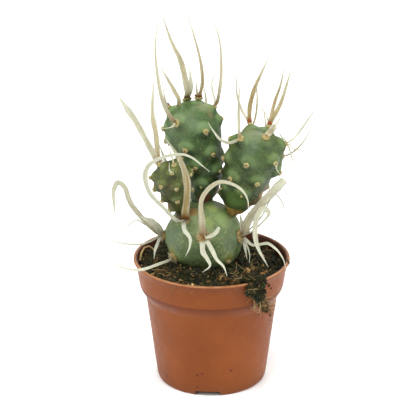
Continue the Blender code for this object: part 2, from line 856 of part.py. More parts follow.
def make_soil(collection, base_shape):
    below = reversed(inner_wall(GAP)[:5])
    top = [(radius, SOIL_SIDE) for radius in reversed(SOIL_RINGS)]
    edge = (inner_radius(SOIL_SIDE) - GAP, SOIL_SIDE)
    profile = [(0.0, SOIL_SIDE), *top, edge, *below, (0.0, FLOOR_TOP + GAP)]
    soil = turned("soil", profile, SOIL_STEPS, collection)
    apply_modifiers(soil)
    for vert in soil.data.vertices:
        x, y, z = vert.co / MM
        if z > SHOULDER_HIGH:
            height = soil_height(x, y)
            if math.hypot(x, y) > SOIL_RINGS[0] + 0.5:
                edge = (inner_radius(height) - SOIL_EDGE_GAP) / math.hypot(x, y)
                x, y = x * edge, y * edge
            vert.co = Vector((x, y, height)) * MM
    add_clump(soil)
    clear_of_lip(soil)
    seat_on(soil, base_shape)
    soil.data.materials.append(plain_material("peat", (0.045, 0.030, 0.020), 0.95))
    smooth(soil, 60)


def add_clump(soil):
    """The lump of root-bound peat that hangs over the lip at the front right."""
    lumps = new_collection("clump")
    for place, radius in CLUMP_LUMPS:
        bm = bmesh.new()
        bmesh.ops.create_icosphere(bm, subdivisions=2, radius=radius)
        for vert in bm.verts:
            vert.co *= 1 + CLUMP_ROUGHNESS * noise.noise((vert.co + Vector(place)) * CLUMP_ROUGH_SCALE)
        bmesh.ops.translate(bm, vec=place, verts=bm.verts)
        add_object("lump", mesh_from(bm, "lump"), lumps)
    boolean(soil, "clump", "UNION", lumps)
    apply_modifiers(soil)
    remove_collection(lumps)


def clear_of_lip(soil):
    """Leaves a fine gap between the hanging clump and the pot's wall."""
    outside = [place for place in outer_wall(GAP) if place[1] >= SHOULDER_LOW]
    inside = [place for place in inner_wall(GAP) if place[1] > SHOULDER_LOW]
    inside[-1] = (inside[-1][0], POT_HEIGHT + GAP)
    foot = [
        (body_radius(CLUMP_FOOT) + GAP, CLUMP_FOOT),
        (body_radius(CLUMP_FOOT) - WALL / 2, CLUMP_FOOT),
        (body_radius(SHOULDER_LOW) - WALL / 2, SHOULDER_LOW),
    ]
    rings = new_collection("lip")
    ring = turned("lip", [*inside, *outside, *foot, inside[0]], POT_STEPS, rings)
    apply_modifiers(ring)
    boolean(soil, "lip", "DIFFERENCE", rings)
    apply_modifiers(soil)
    remove_collection(rings)


def make_plant(collection):
    shapes = {name: JointShape(joint) for name, (joint, _, _) in JOINTS.items()}
    blades = {
        name: [placed_blade(shapes[name], spine) for spine in spines]
        for name, (_, spines, _) in JOINTS.items()
    }
    for name in JOINTS:
        blades[name] += far_blades(name, shapes, blades)
    for name, (_, _, tall_pads) in JOINTS.items():
        body = grow_joint(name, shapes[name], blades[name], tall_pads, collection)
        if name != CARRIER:
            seat_on(body, shapes[CARRIER])
        body.data.materials.append(plain_material(name + " skin", SKIN_COLOURS[name], 0.6))
        smooth(body, 35)
    return shapes[CARRIER]


def main():
    for obj in list(bpy.data.objects):
        bpy.data.objects.remove(obj)
    cactus = new_collection("paper_spine_cactus")
    make_pot(cactus)
    base_shape = make_plant(cactus)
    make_soil(cactus, base_shape)


main()
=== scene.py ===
"""A paper spine cactus in a plastic nursery pot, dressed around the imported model.

Lengths are millimetres in the tables below and metres in the scene. The joints and spines
repeat the model's own shapes with finer skin, thinner spines, woolly areoles and bristles.
"""
import json
import math
import random
from collections import namedtuple

import bmesh
import bpy
import numpy as np
from mathutils import Matrix, Vector, kdtree, noise

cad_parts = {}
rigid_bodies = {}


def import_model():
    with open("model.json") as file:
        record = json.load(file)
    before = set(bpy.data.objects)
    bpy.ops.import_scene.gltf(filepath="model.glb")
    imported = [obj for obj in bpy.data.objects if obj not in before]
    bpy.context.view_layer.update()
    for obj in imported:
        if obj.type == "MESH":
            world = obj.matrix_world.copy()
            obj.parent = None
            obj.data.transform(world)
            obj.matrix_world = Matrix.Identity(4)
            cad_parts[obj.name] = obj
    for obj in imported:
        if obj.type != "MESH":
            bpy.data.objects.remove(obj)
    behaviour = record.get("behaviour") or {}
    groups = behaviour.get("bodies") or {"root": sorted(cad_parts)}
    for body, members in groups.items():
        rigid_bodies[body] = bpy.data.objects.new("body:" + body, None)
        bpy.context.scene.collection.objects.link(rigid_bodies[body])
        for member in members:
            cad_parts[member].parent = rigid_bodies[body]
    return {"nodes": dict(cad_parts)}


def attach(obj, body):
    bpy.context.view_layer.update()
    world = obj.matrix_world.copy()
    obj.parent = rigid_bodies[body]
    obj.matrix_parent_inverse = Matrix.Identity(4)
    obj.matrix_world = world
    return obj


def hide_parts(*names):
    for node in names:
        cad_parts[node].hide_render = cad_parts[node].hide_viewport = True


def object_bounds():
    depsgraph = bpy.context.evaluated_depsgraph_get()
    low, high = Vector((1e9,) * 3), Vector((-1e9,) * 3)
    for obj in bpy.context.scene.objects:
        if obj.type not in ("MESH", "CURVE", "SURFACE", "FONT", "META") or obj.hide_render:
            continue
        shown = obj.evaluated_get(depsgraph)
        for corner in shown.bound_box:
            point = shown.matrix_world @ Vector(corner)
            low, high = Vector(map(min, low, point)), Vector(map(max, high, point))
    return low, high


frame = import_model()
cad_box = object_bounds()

MM = 0.001
SEED = 11
# Pot
POT_HEIGHT = 70.0
LIP_RADIUS = 42.5
WALL = 1.2
FOOT_RADIUS = 29.7
FOOT_CORNER = 2.4
BODY_TAPER = 0.128
SHOULDER_LOW = 47.5
SHOULDER_HIGH = 56.0
BAND_RADIUS = 39.4
BAND_TOP = 65.5
BAND_TOP_RADIUS = 40.9
FLOOR_UNDER = 3.0
FLOOR_TOP = 4.2
FOOT_RING_INNER = 27.6
NOTCH_BEARINGS = (266, 26, 146)
NOTCH_TOP_WIDTH = 12.4
NOTCH_FOOT_WIDTH = 16.0
NOTCH_HEIGHT = 2.8
NOTCH_LENGTH = 14.0
NOTCH_UNDER = 2.0
DRAIN_COUNT = 6
DRAIN_CIRCLE = 18.5
DRAIN_RADIUS = 2.6
DRAIN_SIDES = 10
DRAIN_CUT = 4.0
# The finish of the pot's mesh, with the reach and steps of its eased corners
POT_SIDES = 192
POT_MERGE = 0.05
POT_SHARP_ANGLE = 28
CORNER_EASE = 0.9
CORNER_STEPS = 4
# Halfway through the pot's wall: heights, and the radius at each
WALL_MIDDLE = ((0, SHOULDER_LOW, SHOULDER_HIGH, POT_HEIGHT), (29, 35, 38.8, 41.4))
# Painted shade under the band and under the lip: its top, its foot and how strong it is
EDGE_SHADES = ((SHOULDER_HIGH - 0.3, SHOULDER_LOW, 0.6), (POT_HEIGHT - 1.2, BAND_TOP - 1.0, 0.3))
# The faint line round the pot where the mould parts, and dirt specks: their places and reach
MOULD_LINE = 25.0
DIRT_SPECKS = (
    ((-24.4, -18.3, 6.6), 1.3), ((-7.7, -30.4, 13.0), 1.2), ((-5.2, -31.1, 14.3), 1.1),
    ((10.5, -29.9, 15.6), 1.2), ((-7.8, -29.3, 5.3), 1.0),
)
# Stem joints: egg is how much wider the upper half is than the lower one, blunt is the power of
# its lower and upper ends (2 is an ellipse), and bow moves its middle sideways. The neck is a corky
# ball at its foot. Areoles are (bearing, height) on a unit sphere that is stretched to the joint.
# The far fields rule the side out of sight: how many areoles a whole joint would have, the heights
# above which areoles and spines grow, the spines in each, and their lengths. The defaults are those
# of the centre and right joints.
Joint = namedtuple(
    "Joint",
    "root tip radius blunt areoles egg bow neck neck_radius bump reach pad_radius pad_rise"
    " far_count far_foot far_lowest far_each far_length",
    defaults=(0.0, 0.0, None, 0.0, 2.0, 6.4, 1.0, 0.8, 36, -0.7, 0.2, 1, (24.0, 42.0)),
)
BASE = Joint(
    root=(-4.0, 0.0, 61.0), tip=(-4.0, 0.0, 101.5), radius=20.8, blunt=(2.0, 2.0), bump=1.0, reach=8.5,
    pad_radius=1.7, pad_rise=1.2, far_count=13, far_foot=0.1, far_lowest=0.1, far_each=3,
    areoles={
        "front": (-91, 0.37), "right": (-25, 0.2), "left": (181, 0.05), "upper_left": (-127, 0.69),
        "lower_left": (-143, -0.34), "lower_right": (-52, -0.36),
    },
)
CENTRE = Joint(
    root=(-3.2, 5.0, 101.1), tip=(-12.8, 9.0, 152.7), radius=14.0, egg=0.32, blunt=(3.4, 3.0), bow=0.9,
    neck=(-5.4, 5.0, 103.0), neck_radius=6.0,
    areoles={
        "apex": (42, 0.97), "crown_left": (92, 0.97), "crown_right": (4, 0.83), "back_left": (150, 0.86),
        "shoulder_left": (162, 0.93), "front_left": (-120, 0.78), "front_right": (-64, 0.54),
        "edge_left": (182, 0.62), "edge_low_left": (186, 0.38), "edge_right": (4, 0.6),
        "mid_left": (-112, 0.24), "mid_right": (-56, 0.04), "low": (-100, -0.16),
        "low_edge_right": (-40, -0.36), "neck": (-96, -0.58),
    },
)
RIGHT = Joint(
    root=(11.8, -1.4, 96.9), tip=(28.4, -8.6, 142.6), radius=14.0, egg=0.36, blunt=(3.2, 2.6), bow=-1.4,
    neck=(11.4, -1.4, 97.7), neck_radius=3.9,
    areoles={
        "crown_left": (134, 0.88), "crown_right": (82, 0.95), "top_front": (-96, 0.98),
        "shoulder_left": (-154, 0.8), "edge_right": (8, 0.86), "edge_left": (165, 0.56),
        "mid": (-108, 0.48), "mid_right": (-54, 0.66), "low_right_edge": (-16, 0.34),
        "mid_left": (-167, 0.24), "low_left": (-128, 0.0), "low_right": (-72, 0.14),
        "lobe_left": (-151, -0.4), "lobe": (-92, -0.28),
    },
)
LEFT = Joint(
    root=(-16.4, -8.0, 96.3), tip=(-22.3, -16.0, 128.3), radius=9.4, egg=0.7, blunt=(2.1, 2.6), bow=-0.2,
    neck=(-16.2, -7.8, 97.0), neck_radius=3.4, bump=1.8, reach=4.2, pad_radius=0.85, pad_rise=0.7,
    far_count=34, far_length=(9.0, 14.0),
    areoles={
        "crown_left": (-178, 0.97), "crown_front": (-50, 0.98), "front_high": (-80, 0.9),
        "crown_right": (0, 0.96), "edge_left": (-178, 0.64), "front_left": (-120, 0.62),
        "front": (-78, 0.5), "mid_left": (-144, -0.06), "mid": (-82, -0.04), "edge_low_left": (-164, 0.3),
        "right_high": (-20, 0.64), "right_low": (-6, 0.02), "low": (-146, -0.54),
    },
)
# Papery spines: the areole they grow from, their greatest width, points along them, how much of
# the length keeps its width, and whether the end is cut square
Spine = namedtuple("Spine", "areole width route full cut", defaults=(0.3, False))
CENTRE_SPINES = (
    Spine("front_left", 2.4, ((-24, -9, 157), (-27, -12, 169), (-29, -11, 187), (-28, -7, 200),
          (-24, -2, 209)), 0.1),
    Spine("back_left", 2.4, ((-17, 10, 153), (-22, 12, 164), (-28, 13, 174)), 0.5),
    Spine("crown_left", 3.2, ((-13, 7, 162), (-16, 4, 178), (-21, 2, 190), (-26, -1, 206)), 0.4),
    Spine("crown_left", 2.6, ((-11, 10, 163), (-12, 11, 175)), 0.5),
    Spine("apex", 2.4, ((-5, 7, 166), (-6, 2, 180), (-10, -2, 197), (-14, -4, 210)), 0.1),
    Spine("apex", 1.4, ((-8, 10, 161), (-8, 11, 167))),
    Spine("crown_right", 1.8, ((4, 5, 162), (5, 4, 174), (4, 4, 190), (-1, 1, 206))),
    Spine("crown_right", 1.2, ((0, 15, 163), (4, 16, 174))),
    Spine("shoulder_left", 0.9, ((-25, 8, 158), (-27, 10, 172))),
    Spine("front_left", 1.0, ((-21, -10, 147), (-26, -9, 146))),
)
RIGHT_SPINES = (
    Spine("crown_left", 2.4, ((20, 2, 154), (23, -1, 167), (30, -4, 184)), 0.5),
    Spine("shoulder_left", 1.6, ((14, -11, 152), (14, -13, 164), (15, -13, 177))),
    Spine("crown_left", 1.4, ((16, 6, 151), (13, 8, 162), (14, 8, 176))),
    Spine("crown_right", 1.8, ((33, 3, 156), (36, 0, 167), (38, -3, 180)), 0.4),
    Spine("crown_right", 2.4, ((36, 6, 154), (39, 7, 163), (42, 7, 175)), 0.4),
    Spine("top_front", 3.4, ((30, -13, 145), (33, -15, 150)), 0.8, True),
    Spine("top_front", 1.2, ((32, -10, 146), (35, -10, 151), (39, -11, 158))),
    Spine("edge_right", 1.0, ((45, -2, 140), (52, -5, 152), (59, -6, 163)), 0.5),
    Spine("edge_right", 0.8, ((45, 2, 130), (53, 3, 130)), 0.5),
    Spine("edge_right", 0.8, ((42, -3, 129), (46, -6, 119)), 0.5),
    Spine("edge_right", 0.8, ((37, -2, 139), (34, -3, 144)), 0.5),
    Spine("shoulder_left", 1.8, ((11, -12, 139), (4, -14, 142), (-2, -14, 151))),
    Spine("crown_right", 0.8, ((28, 3, 151), (23, 4, 157))),
    Spine("mid_right", 1.0, ((34, -15, 125), (38, -16, 121))),
)
LEFT_SPINES = (
    Spine("crown_left", 3.0, ((-32, -20, 139), (-39, -22, 154), (-48, -22, 168)), 0.8),
    Spine("crown_left", 2.8, ((-29, -15, 144), (-31, -11, 156), (-30, -7, 173)), 0.5),
    Spine("front_high", 1.0, ((-22, -26, 129), (-22, -26, 133))),
    Spine("crown_front", 0.9, ((-21, -17, 133), (-22, -18, 138), (-24, -19, 143))),
)
BASE_SPINES = (
    Spine("upper_left", 4.0, ((-14, -19, 103), (-13, -24, 114), (-13, -27, 124), (-16, -29, 135),
          (-24, -29, 148)), 0.55),
    Spine("upper_left", 2.4, ((-18, -19, 98), (-26, -21, 107), (-33, -24, 117), (-34, -28, 130),
          (-26, -32, 138), (-13, -31, 139), (-1, -23, 127)), 0.6),
    Spine("upper_left", 2.4, ((-15, -19, 94), (-11, -23, 88), (-14, -25, 80)), 0.4),
    Spine("left", 2.8, ((-35, -6, 92), (-43, -9, 104), (-46, -11, 114), (-50, -12, 117), (-52, -13, 111),
          (-51, -14, 97)), 0.7),
    Spine("left", 4.0, ((-30, -7, 91), (-38, -10, 97)), 0.7),
    Spine("left", 1.0, ((-36, -9, 81), (-46, -12, 82), (-55, -13, 84), (-60, -15, 80)), 0.6),
    Spine("left", 0.8, ((-36, -4, 90), (-41, -8, 94), (-49, -11, 88), (-58, -12, 85)), 0.6),
    Spine("left", 1.8, ((-30, -8, 78), (-31, -11, 73)), 0.6),
    Spine("lower_left", 1.6, ((-28, -23, 75), (-38, -31, 75), (-48, -34, 78), (-51, -35, 83),
          (-49, -35, 88)), 0.5),
    Spine("front", 3.4, ((-5, -24, 99), (-5, -27, 114), (4, -30, 124), (15, -30, 120), (19, -28, 111),
          (18, -26, 101)), 0.15),
    Spine("front", 2.2, ((1, -24, 92), (4, -26, 97)), 0.8, True),
    Spine("front", 2.8, ((-5, -24, 84), (-3, -27, 80), (0, -30, 78), (-5, -32, 74)), 0.4),
    Spine("front", 2.4, ((-1, -24, 86), (2, -29, 81), (6, -33, 78), (8, -37, 74)), 0.4),
    Spine("right", 4.4, ((20, -13, 97), (28, -17, 109), (38, -21, 122)), 0.9, True),
    Spine("right", 2.8, ((22, -13, 90), (30, -17, 101), (26, -19, 105), (23, -20, 96), (24, -22, 85),
          (30, -25, 74)), 0.7),
    Spine("right", 2.2, ((18, -11, 78), (19, -12, 73))),
    Spine("right", 1.2, ((20, -13, 78), (20, -17, 73))),
    Spine("right", 1.6, ((22, -14, 82), (30, -19, 85), (37, -27, 81), (39, -32, 75)), 0.5),
    Spine("right", 2.2, ((16, -10, 92), (15, -11, 99)), 0.6),
    Spine("right", 0.8, ((26, -10, 96), (33, -9, 109), (38, -11, 104), (38, -13, 98), (35, -13, 91)), 0.7),
)
SPINE_STATION = 5.2
SPINE_SUNK = 1.2
VIEWER = Vector((0.0, -0.93, 0.36))
# Out of the viewer's sight the areoles follow the golden angle. Those above a height may bear a
# spine, if one of a few tries stays over the pot and clear of the other joints and their spines.
FAR_WIDTH = (1.0, 2.8)
FAR_SPACING = 0.8
FAR_OUT_OF_VIEW = 0.15
FAR_RISE = 0.8
FAR_SPREAD = 0.3
FAR_SCATTER = ((-1, 1), (-0.6, 0.3), (-0.3, 0.6))
FAR_CURL = 0.3
FAR_LEGS = 4
FAR_TRIES = 20
FAR_BACK = 41.0
FAR_SIDE = 55.0
FAR_TOP = 204.0
FAR_FROM_JOINT = 3.5
FAR_FROM_SPINE = 5.0
GOLDEN_ANGLE = math.radians(137.508)
# Each joint with its spines and the areoles that stand out like small stalks
JOINTS = {
    "base_segment": (BASE, BASE_SPINES, ()),
    "centre_segment": (CENTRE, CENTRE_SPINES, ("apex", "shoulder_left")),
    "right_segment": (RIGHT, RIGHT_SPINES, ("crown_left", "crown_right")),
    "left_segment": (LEFT, LEFT_SPINES, ()),
}
# A spine as it is laid: the points of its middle line, its width and ends, and the way it faces
Blade = namedtuple("Blade", "route width full cut facing")
# Finish of the spines, in the order of each joint's table: 0 is white paper, 1 is tan
SPINE_TONES = {
    "base_segment": (
        0.85, 0.1, 0.0, 0.3, 0.15, 0.1, 0.0, 0.0, 0.15, 0.45, 0.2, 0.15, 0.1, 0.35, 0.2, 0.0, 0.1, 0.05,
        0.2, 0.0,
    ),
    "centre_segment": (0.4, 0.5, 0.5, 0.1, 0.6, 0.6, 0.45, 0.1, 0.3, 0.25),
    "right_segment": (0.75, 0.4, 0.35, 0.75, 0.7, 0.55, 0.2, 0.15, 0.2, 0.2, 0.2, 0.2, 0.15, 0.1),
    "left_segment": (0.3, 0.5, 0.1, 0.4),
}
FAR_TONES = (0.15, 0.7)
# Widths of the spines' feet, as shares of their blades, and the broader ones by place in the table
FOOT_WIDTH = 0.8
FEET = {"base_segment": {0: 1.15, 9: 1.45, 11: 1.3}}
# Papery strips: the distance between their points, their thickness, the points across them and the
# share of light that shines through
FINE_STATION = 1.1
PAPER_THICKNESS = 0.32
PAPER_ACROSS = 6
PAPER_GLOW = 0.36
# How the strips vary: their trough, the waver of their width, their lean and ruffles, and the least
# that is left of half their width
PAPER_TROUGH = (0.12, 0.34)
PAPER_WAVER = 0.14
PAPER_LEAN = 0.5
PAPER_RUFFLE = 0.10
PAPER_NARROWEST = 0.14
# Each stem's skin: screen colours of its dark, middle and light skin, which the painted light picks
# from: painted shade in the hollows, low down and below each areole, painted highlight on tubercle
# tops, high up and above each areole. Then its scurf, the shares of scurf and dark blotches, and how
# strongly an areole's hood is painted pale above it and dark below
Skin = namedtuple("Skin", "dark middle light scurf scurf_share blotch_share hood")
SKINS = {
    "base_segment": Skin((54, 70, 34), (80, 96, 56), (118, 132, 86), (140, 152, 104), 0.7, 0.55, 0.15),
    "centre_segment": Skin((22, 44, 14), (42, 70, 29), (88, 113, 64), (98, 112, 62), 0.5, 0.55, 0.6),
    "right_segment": Skin((20, 38, 10), (40, 60, 23), (74, 93, 46), (92, 102, 54), 0.5, 0.55, 0.5),
    "left_segment": Skin((30, 38, 6), (48, 58, 12), (78, 84, 26), (90, 90, 38), 0.5, 0.8, 0.5),
}
# Corky, yellowed, paler and darker places: where, how far they reach, their screen colour and its
# share. The dark greens low on the base's front, and the dark green on the centre joint beside the
# right one, are painted shade
STEM_MARKS = {
    "base_segment": (
        ((-21.3, -11.7, 84.1), 10.0, (98, 116, 88), 0.6), ((-23.4, -6.7, 86.7), 6.0, (106, 124, 92), 0.5),
        ((2.7, -6.5, 99.5), 9.0, (118, 142, 82), 0.65), ((6.6, -10.6, 95.6), 6.5, (136, 158, 98), 0.7),
        ((0.1, -6.1, 100.3), 4.0, (148, 162, 88), 0.7), ((-1.9, -14.8, 95.6), 4.5, (136, 156, 88), 0.6),
        # the dark greens (72, 94, 62), (66, 86, 46) and (66, 82, 46) low on the front are painted shade
        ((-8.9, -10.1, 98.5), 5.0, (126, 140, 96), 0.5), ((-11.5, -19.6, 78.8), 6.0, (72, 94, 62), 0.45),
        ((6.0, 16.5, 88.0), 6.0, (122, 116, 62), 0.6), ((-17.0, 12.0, 80.0), 5.0, (112, 96, 52), 0.65),
        ((14.0, 9.0, 76.0), 5.0, (108, 92, 48), 0.6), ((10.1, -11.0, 92.0), 5.0, (112, 130, 92), 0.6),
        ((11.4, -14.4, 84.1), 8.0, (90, 106, 76), 0.6), ((-6.9, -20.6, 80.4), 7.0, (66, 86, 46), 0.45),
        ((12.9, -12.3, 75.0), 6.0, (66, 82, 46), 0.5), ((-21.2, -11.6, 77.8), 4.5, (124, 122, 58), 0.7),
        ((8.7, -15.7, 75.4), 4.0, (124, 124, 54), 0.8), ((8.8, -13.4, 71.5), 2.6, (134, 82, 36), 0.9),
        ((-11.1, -8.6, 98.6), 5.0, (172, 132, 76), 0.9), ((-13.4, -11.0, 96.6), 2.2, (104, 62, 32), 0.8),
        ((-4.7, 3.0, 101.0), 6.0, (86, 88, 62), 0.7), ((3.9, -1.0, 100.1), 3.5, (104, 98, 82), 0.7),
        ((11.0, -7.0, 96.5), 3.5, (104, 94, 62), 0.7),
    ),
    "centre_segment": (
        ((-16, -3, 146), 12.0, (104, 120, 86), 0.3), ((-9.9, -5.2, 146.7), 5.0, (104, 124, 90), 0.5),
        ((-4.6, 6.3, 153.3), 6.0, (124, 132, 88), 0.7), ((-0.4, 2.4, 150.1), 3.0, (112, 104, 66), 0.6),
        ((-17.3, 12.0, 151.0), 4.0, (92, 100, 44), 0.6), ((-4, -2, 103), 5.5, (112, 58, 32), 1.0),
        # the dark green (34, 48, 20) beside the right joint is painted shadow
        ((4, 2, 107), 4.0, (104, 70, 42), 0.8), ((5, -2, 112), 6.0, (34, 48, 20), 0.6),
    ),
    "right_segment": (
        ((22.8, -12.0, 143.4), 7.0, (118, 132, 92), 0.75), ((17.9, -7.0, 143.0), 5.0, (116, 126, 78), 0.6),
        ((20.4, -18.1, 139.4), 6.0, (96, 116, 90), 0.25), ((21.0, -20.0, 132.0), 9.0, (70, 92, 56), 0.4),
        ((12.2, -13.4, 107.7), 8.0, (76, 106, 36), 0.7), ((28.2, -9.0, 111.6), 4.0, (100, 70, 34), 0.9),
        ((26.0, -9.2, 109.2), 3.2, (150, 118, 66), 0.95), ((23.2, -9.4, 106.6), 3.4, (96, 64, 30), 0.9),
        ((20.4, -9.8, 104.4), 3.0, (100, 72, 34), 0.8), ((7.7, -4.2, 99.5), 4.5, (196, 168, 88), 0.95),
        ((10.3, -6.2, 98.0), 4.6, (190, 154, 78), 0.95), ((14.0, -7.9, 98.1), 4.0, (156, 118, 60), 0.9),
        ((36, -8, 134), 4.0, (110, 74, 44), 0.7),
    ),
    "left_segment": (
        ((-29, -12, 104), 5.0, (92, 62, 36), 0.8), ((-16, -13, 97), 4.0, (96, 62, 32), 0.9),
        ((-23.5, -12.7, 105.3), 4.5, (104, 78, 40), 0.8), ((-17, -17, 102), 5.0, (96, 100, 38), 0.6),
        ((-32, -15, 118), 5.0, (96, 64, 38), 0.8), ((-33, -16, 126), 4.0, (96, 64, 38), 0.7),
        ((-22, -24, 119), 5.0, (58, 50, 20), 0.5), ((-25, -20, 111), 4.5, (60, 50, 20), 0.5),
        ((-15.5, -20, 121), 3.5, (104, 108, 50), 0.5),
    ),
}
# How steep a tubercle is above and below its peak (1 is round), the step that normals are taken
# over, the skin's ripples as size, pitch and offset, and the skin's and the neck's columns and rows
UPPER_SLOPE = 0.86
LOWER_SLOPE = 1.3
NORMAL_STEP = 0.02
RIPPLES = ((0.5, 0.16, (0, 0, 0)), (0.16, 0.5, (7, 3, 1)))
SKIN_GRID = (240, 160)
NECK_GRID = (48, 32)
# Woolly areoles: the height of those on small stalks and the sizes of their rusty knobs, the
# areoles whose middle is as pale as their rim, how wide the woolly wads of each joint are, how much
# they vary, and how ragged they and the knobs are
TALL_AREOLE = 2.8
KNOBS = {"centre_segment": {"apex": 1.7, "shoulder_left": 1.2, "crown_left": 1.9}}
PALE_HEARTS = ("crown_left", "crown_right", "back_left", "front_left", "top_front", "shoulder_left")
PLAIN_WAD = 1.35
WADS = {
    "base_segment": {
        "front": 2.1, "right": 2.1, "left": 1.7, "lower_left": 1.6, "upper_left": 1.4, "lower_right": 0.5,
    },
    "centre_segment": {
        "low": 1.0, "low_edge_right": 1.1, "neck": 0.6, "front_right": 1.6, "front_left": 2.2,
    },
    "right_segment": {"lobe": 0.6, "lobe_left": 0.8, "mid": 1.5, "top_front": 2.0, "shoulder_left": 1.8},
}
WAD_SPAN = (0.9, 1.12)
WOOL_RAGGED = 0.28
KNOB_RAGGED = 0.5
BRISTLES = 26
BRISTLE_RADIUS = 0.075
# Peat: its fineness, the part of it inside the pot that is left smooth, and its lumps' sizes and pitches
PEAT_VOXEL = 0.85
HIDDEN_PEAT_TOP = 60
HIDDEN_PEAT_RADIUS = 40.5
PEAT_LUMPS = ((0.8, 0.32), (0.55, 0.85), (0.35, 1.9))
# Where crumbs and fibres lie: on top, above a height and within a radius, or over the lip, beyond
# a radius and below a height
TOP_ABOVE = 61
TOP_WITHIN = 39
LIP_BEYOND = 41
LIP_BELOW = 73
# Where roots and straw show in the peat, and how far they reach
STRAW_SPOTS = (
    ((26, -32, 57.5), 5.0), ((24.5, -34.5, 61.0), 3.5), ((-27, -20, 69), 6.0), ((11, -31, 69), 5.5),
    ((20, -18, 69), 4.0), ((6, -28, 69), 5.0),
)
# Loose crumbs: their count, their stretch along three axes, and the middle stretch under the stem
# where they are darker, as painted shade. Then bark chips, root bits and dirt on the lip and the wall:
# place, size and tint
CRUMBS = 2600
CRUMB_STRETCH = ((0.6, 1.7), (0.5, 1.2), (0.35, 0.9))
CHIP_STRETCH = (1.3, 0.9, 0.6)
PAINTED_SHADE_FROM = -18
PAINTED_SHADE_TO = 14
SET_CRUMBS = (
    ((-31.6, -25.0, 69.5), 1.3, 0.85), ((-29.8, -21.5, 69.0), 1.6, 0.7), ((-22.0, -31.5, 69.8), 0.9, 0.45),
    ((-19.8, -34.0, 70.0), 1.1, 0.4), ((-17.5, -36.4, 70.2), 0.9, 0.5), ((-15.0, -38.4, 70.3), 0.8, 0.35),
    ((-10.0, -40.2, 70.4), 0.8, 1.0), ((-12.4, -39.4, 70.2), 0.6, 0.9), ((19.5, -19.0, 69.5), 1.7, 0.85),
    ((21.6, -16.4, 69.2), 1.4, 0.9), ((27.0, -22.5, 69.2), 1.3, 0.8), ((28.8, -19.5, 69.0), 1.1, 0.75),
    ((41.2, -7.0, 70.0), 1.0, 0.1), ((41.4, -8.6, 69.6), 1.1, 0.3), ((41.0, -10.2, 69.0), 0.8, 0.2),
    ((29.0, -29.8, 67.0), 0.8, 0.2), ((30.4, -27.4, 64.6), 0.9, 0.3), ((31.6, -25.4, 62.0), 0.6, 0.4),
    ((27.3, -28.4, 55.2), 0.7, 0.2), ((31.0, -18.4, 45.9), 0.8, 0.3), ((31.8, -15.6, 41.7), 0.6, 0.3),
    ((31.6, -14.4, 38.4), 0.4, 0.4), ((29.6, -21.6, 48.6), 1.0, 0.15),
)
# Fibres over the peat, those in bunches (middle, way and count), and single strands (route and radius)
FIBRES = 260
FIBRE_LEGS = 7
FIBRE_SIDES = 5
FIBRE_FACING = Vector((0.3, -0.5, 0.8))
FIBRE_LENGTH = (1.5, 8)
FIBRE_ARCH = (0.05, 0.6)
FIBRE_WANDER = 0.22
FIBRE_RADIUS = (0.05, 0.14)
BUNCHED_RADIUS = (0.06, 0.15)
CLUMP_FIBRES = (
    ((26, -34.5, 58), (4, 1, -2), 40), ((25, -35.5, 60), (-1, -1, -4), 18), ((22, -36, 71), (-3, -2, 3), 6),
    ((28.5, -31, 54.5), (3, 1, -2), 20), ((12, -32, 70.3), (4, 1, 0.2), 20),
    ((5, -30, 70.2), (4, -2, 0.1), 10), ((20, -18, 70.2), (3, 2, 0.3), 22),
    ((-24, -24, 70.2), (4, -1, 0.2), 12), ((25.5, -27, 50), (1, 2, -6), 5),
)
ROOT_STRANDS = (
    (((-18.6, -36, 70.4), (-19.3, -38.2, 68.5), (-20.4, -36.4, 65.5), (-21, -34.9, 62.8),
      (-21.3, -33.8, 58.2)), 0.12),
    (((-39, 0, 67), (-38.4, 6, 69), (-37, 11, 70), (-34.4, 13.6, 70), (-31.8, 12, 69), (-31, 7, 67)), 0.75),
    (((-32, -18, 69.4), (-29, -20, 70.4), (-25, -21, 70.6), (-22, -24, 70)), 0.3),
    (((10.5, -40.9, 68.4), (11.4, -40.2, 66), (13.2, -39.3, 65), (14.6, -39.2, 66.4),
      (15, -39.6, 68)), 0.1),
    (((-9, -41.2, 68.6), (-10.4, -40.6, 66.4), (-11, -40.2, 65)), 0.09),
)
# Studio lights: place, aim, size and power
LIGHTS = {
    "top": ((-0.1, -0.35, 1.25), (0, 0, 0.1), 0.8, 13),
    "left": ((-0.95, -0.35, 0.55), (0, 0, 0.1), 0.7, 6),
    "right": ((0.95, -0.30, 0.55), (0, 0, 0.1), 0.7, 7.5),
    "back": ((0.1, 0.9, 0.9), (0, 0, 0.12), 0.6, 5),
}
DAYLIGHT = 0.62
FLOOR_SIZE = 6.0
CAMERA_PLACE = (-0.002, -0.900, 0.447)
CAMERA_TILT = 68.8
CAMERA_LENS = 155.4
CAMERA_REACH = 20


def add_object(name, data, collection=None):
    obj = bpy.data.objects.new(name, data)
    (collection or bpy.context.scene.collection).objects.link(obj)
    return obj


def add_attribute(mesh, name, values):
    """Stores up to four numbers for each point, as a colour-like attribute."""
    filled = np.ones((len(values), 4), np.float32)
    values = np.asarray(values, np.float32)
    filled[:, : values.shape[1]] = values
    layer = mesh.attributes.new(name, "FLOAT_COLOR", "POINT")
    layer.data.foreach_set("color", filled.ravel())


def mesh_from(bm, name):
    """A mesh in metres from a bmesh in millimetres."""
    bmesh.ops.scale(bm, vec=(MM, MM, MM), verts=bm.verts)
    bmesh.ops.recalc_face_normals(bm, faces=bm.faces)
    mesh = bpy.data.meshes.new(name)
    bm.to_mesh(mesh)
    bm.free()
    return mesh


def apply_modifiers(obj):
    """Replaces the object's mesh by its evaluated one and clears its modifiers."""
    bpy.context.view_layer.update()
    graph = bpy.context.evaluated_depsgraph_get()
    mesh = bpy.data.meshes.new_from_object(obj.evaluated_get(graph))
    obj.modifiers.clear()
    obj.data = mesh


def dress(obj, slot, *nodes):
    """Fixes a piece to the model and hides the nodes that it stands for; its finish is not used."""
    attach(obj, "root")
    if nodes:
        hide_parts(*nodes)


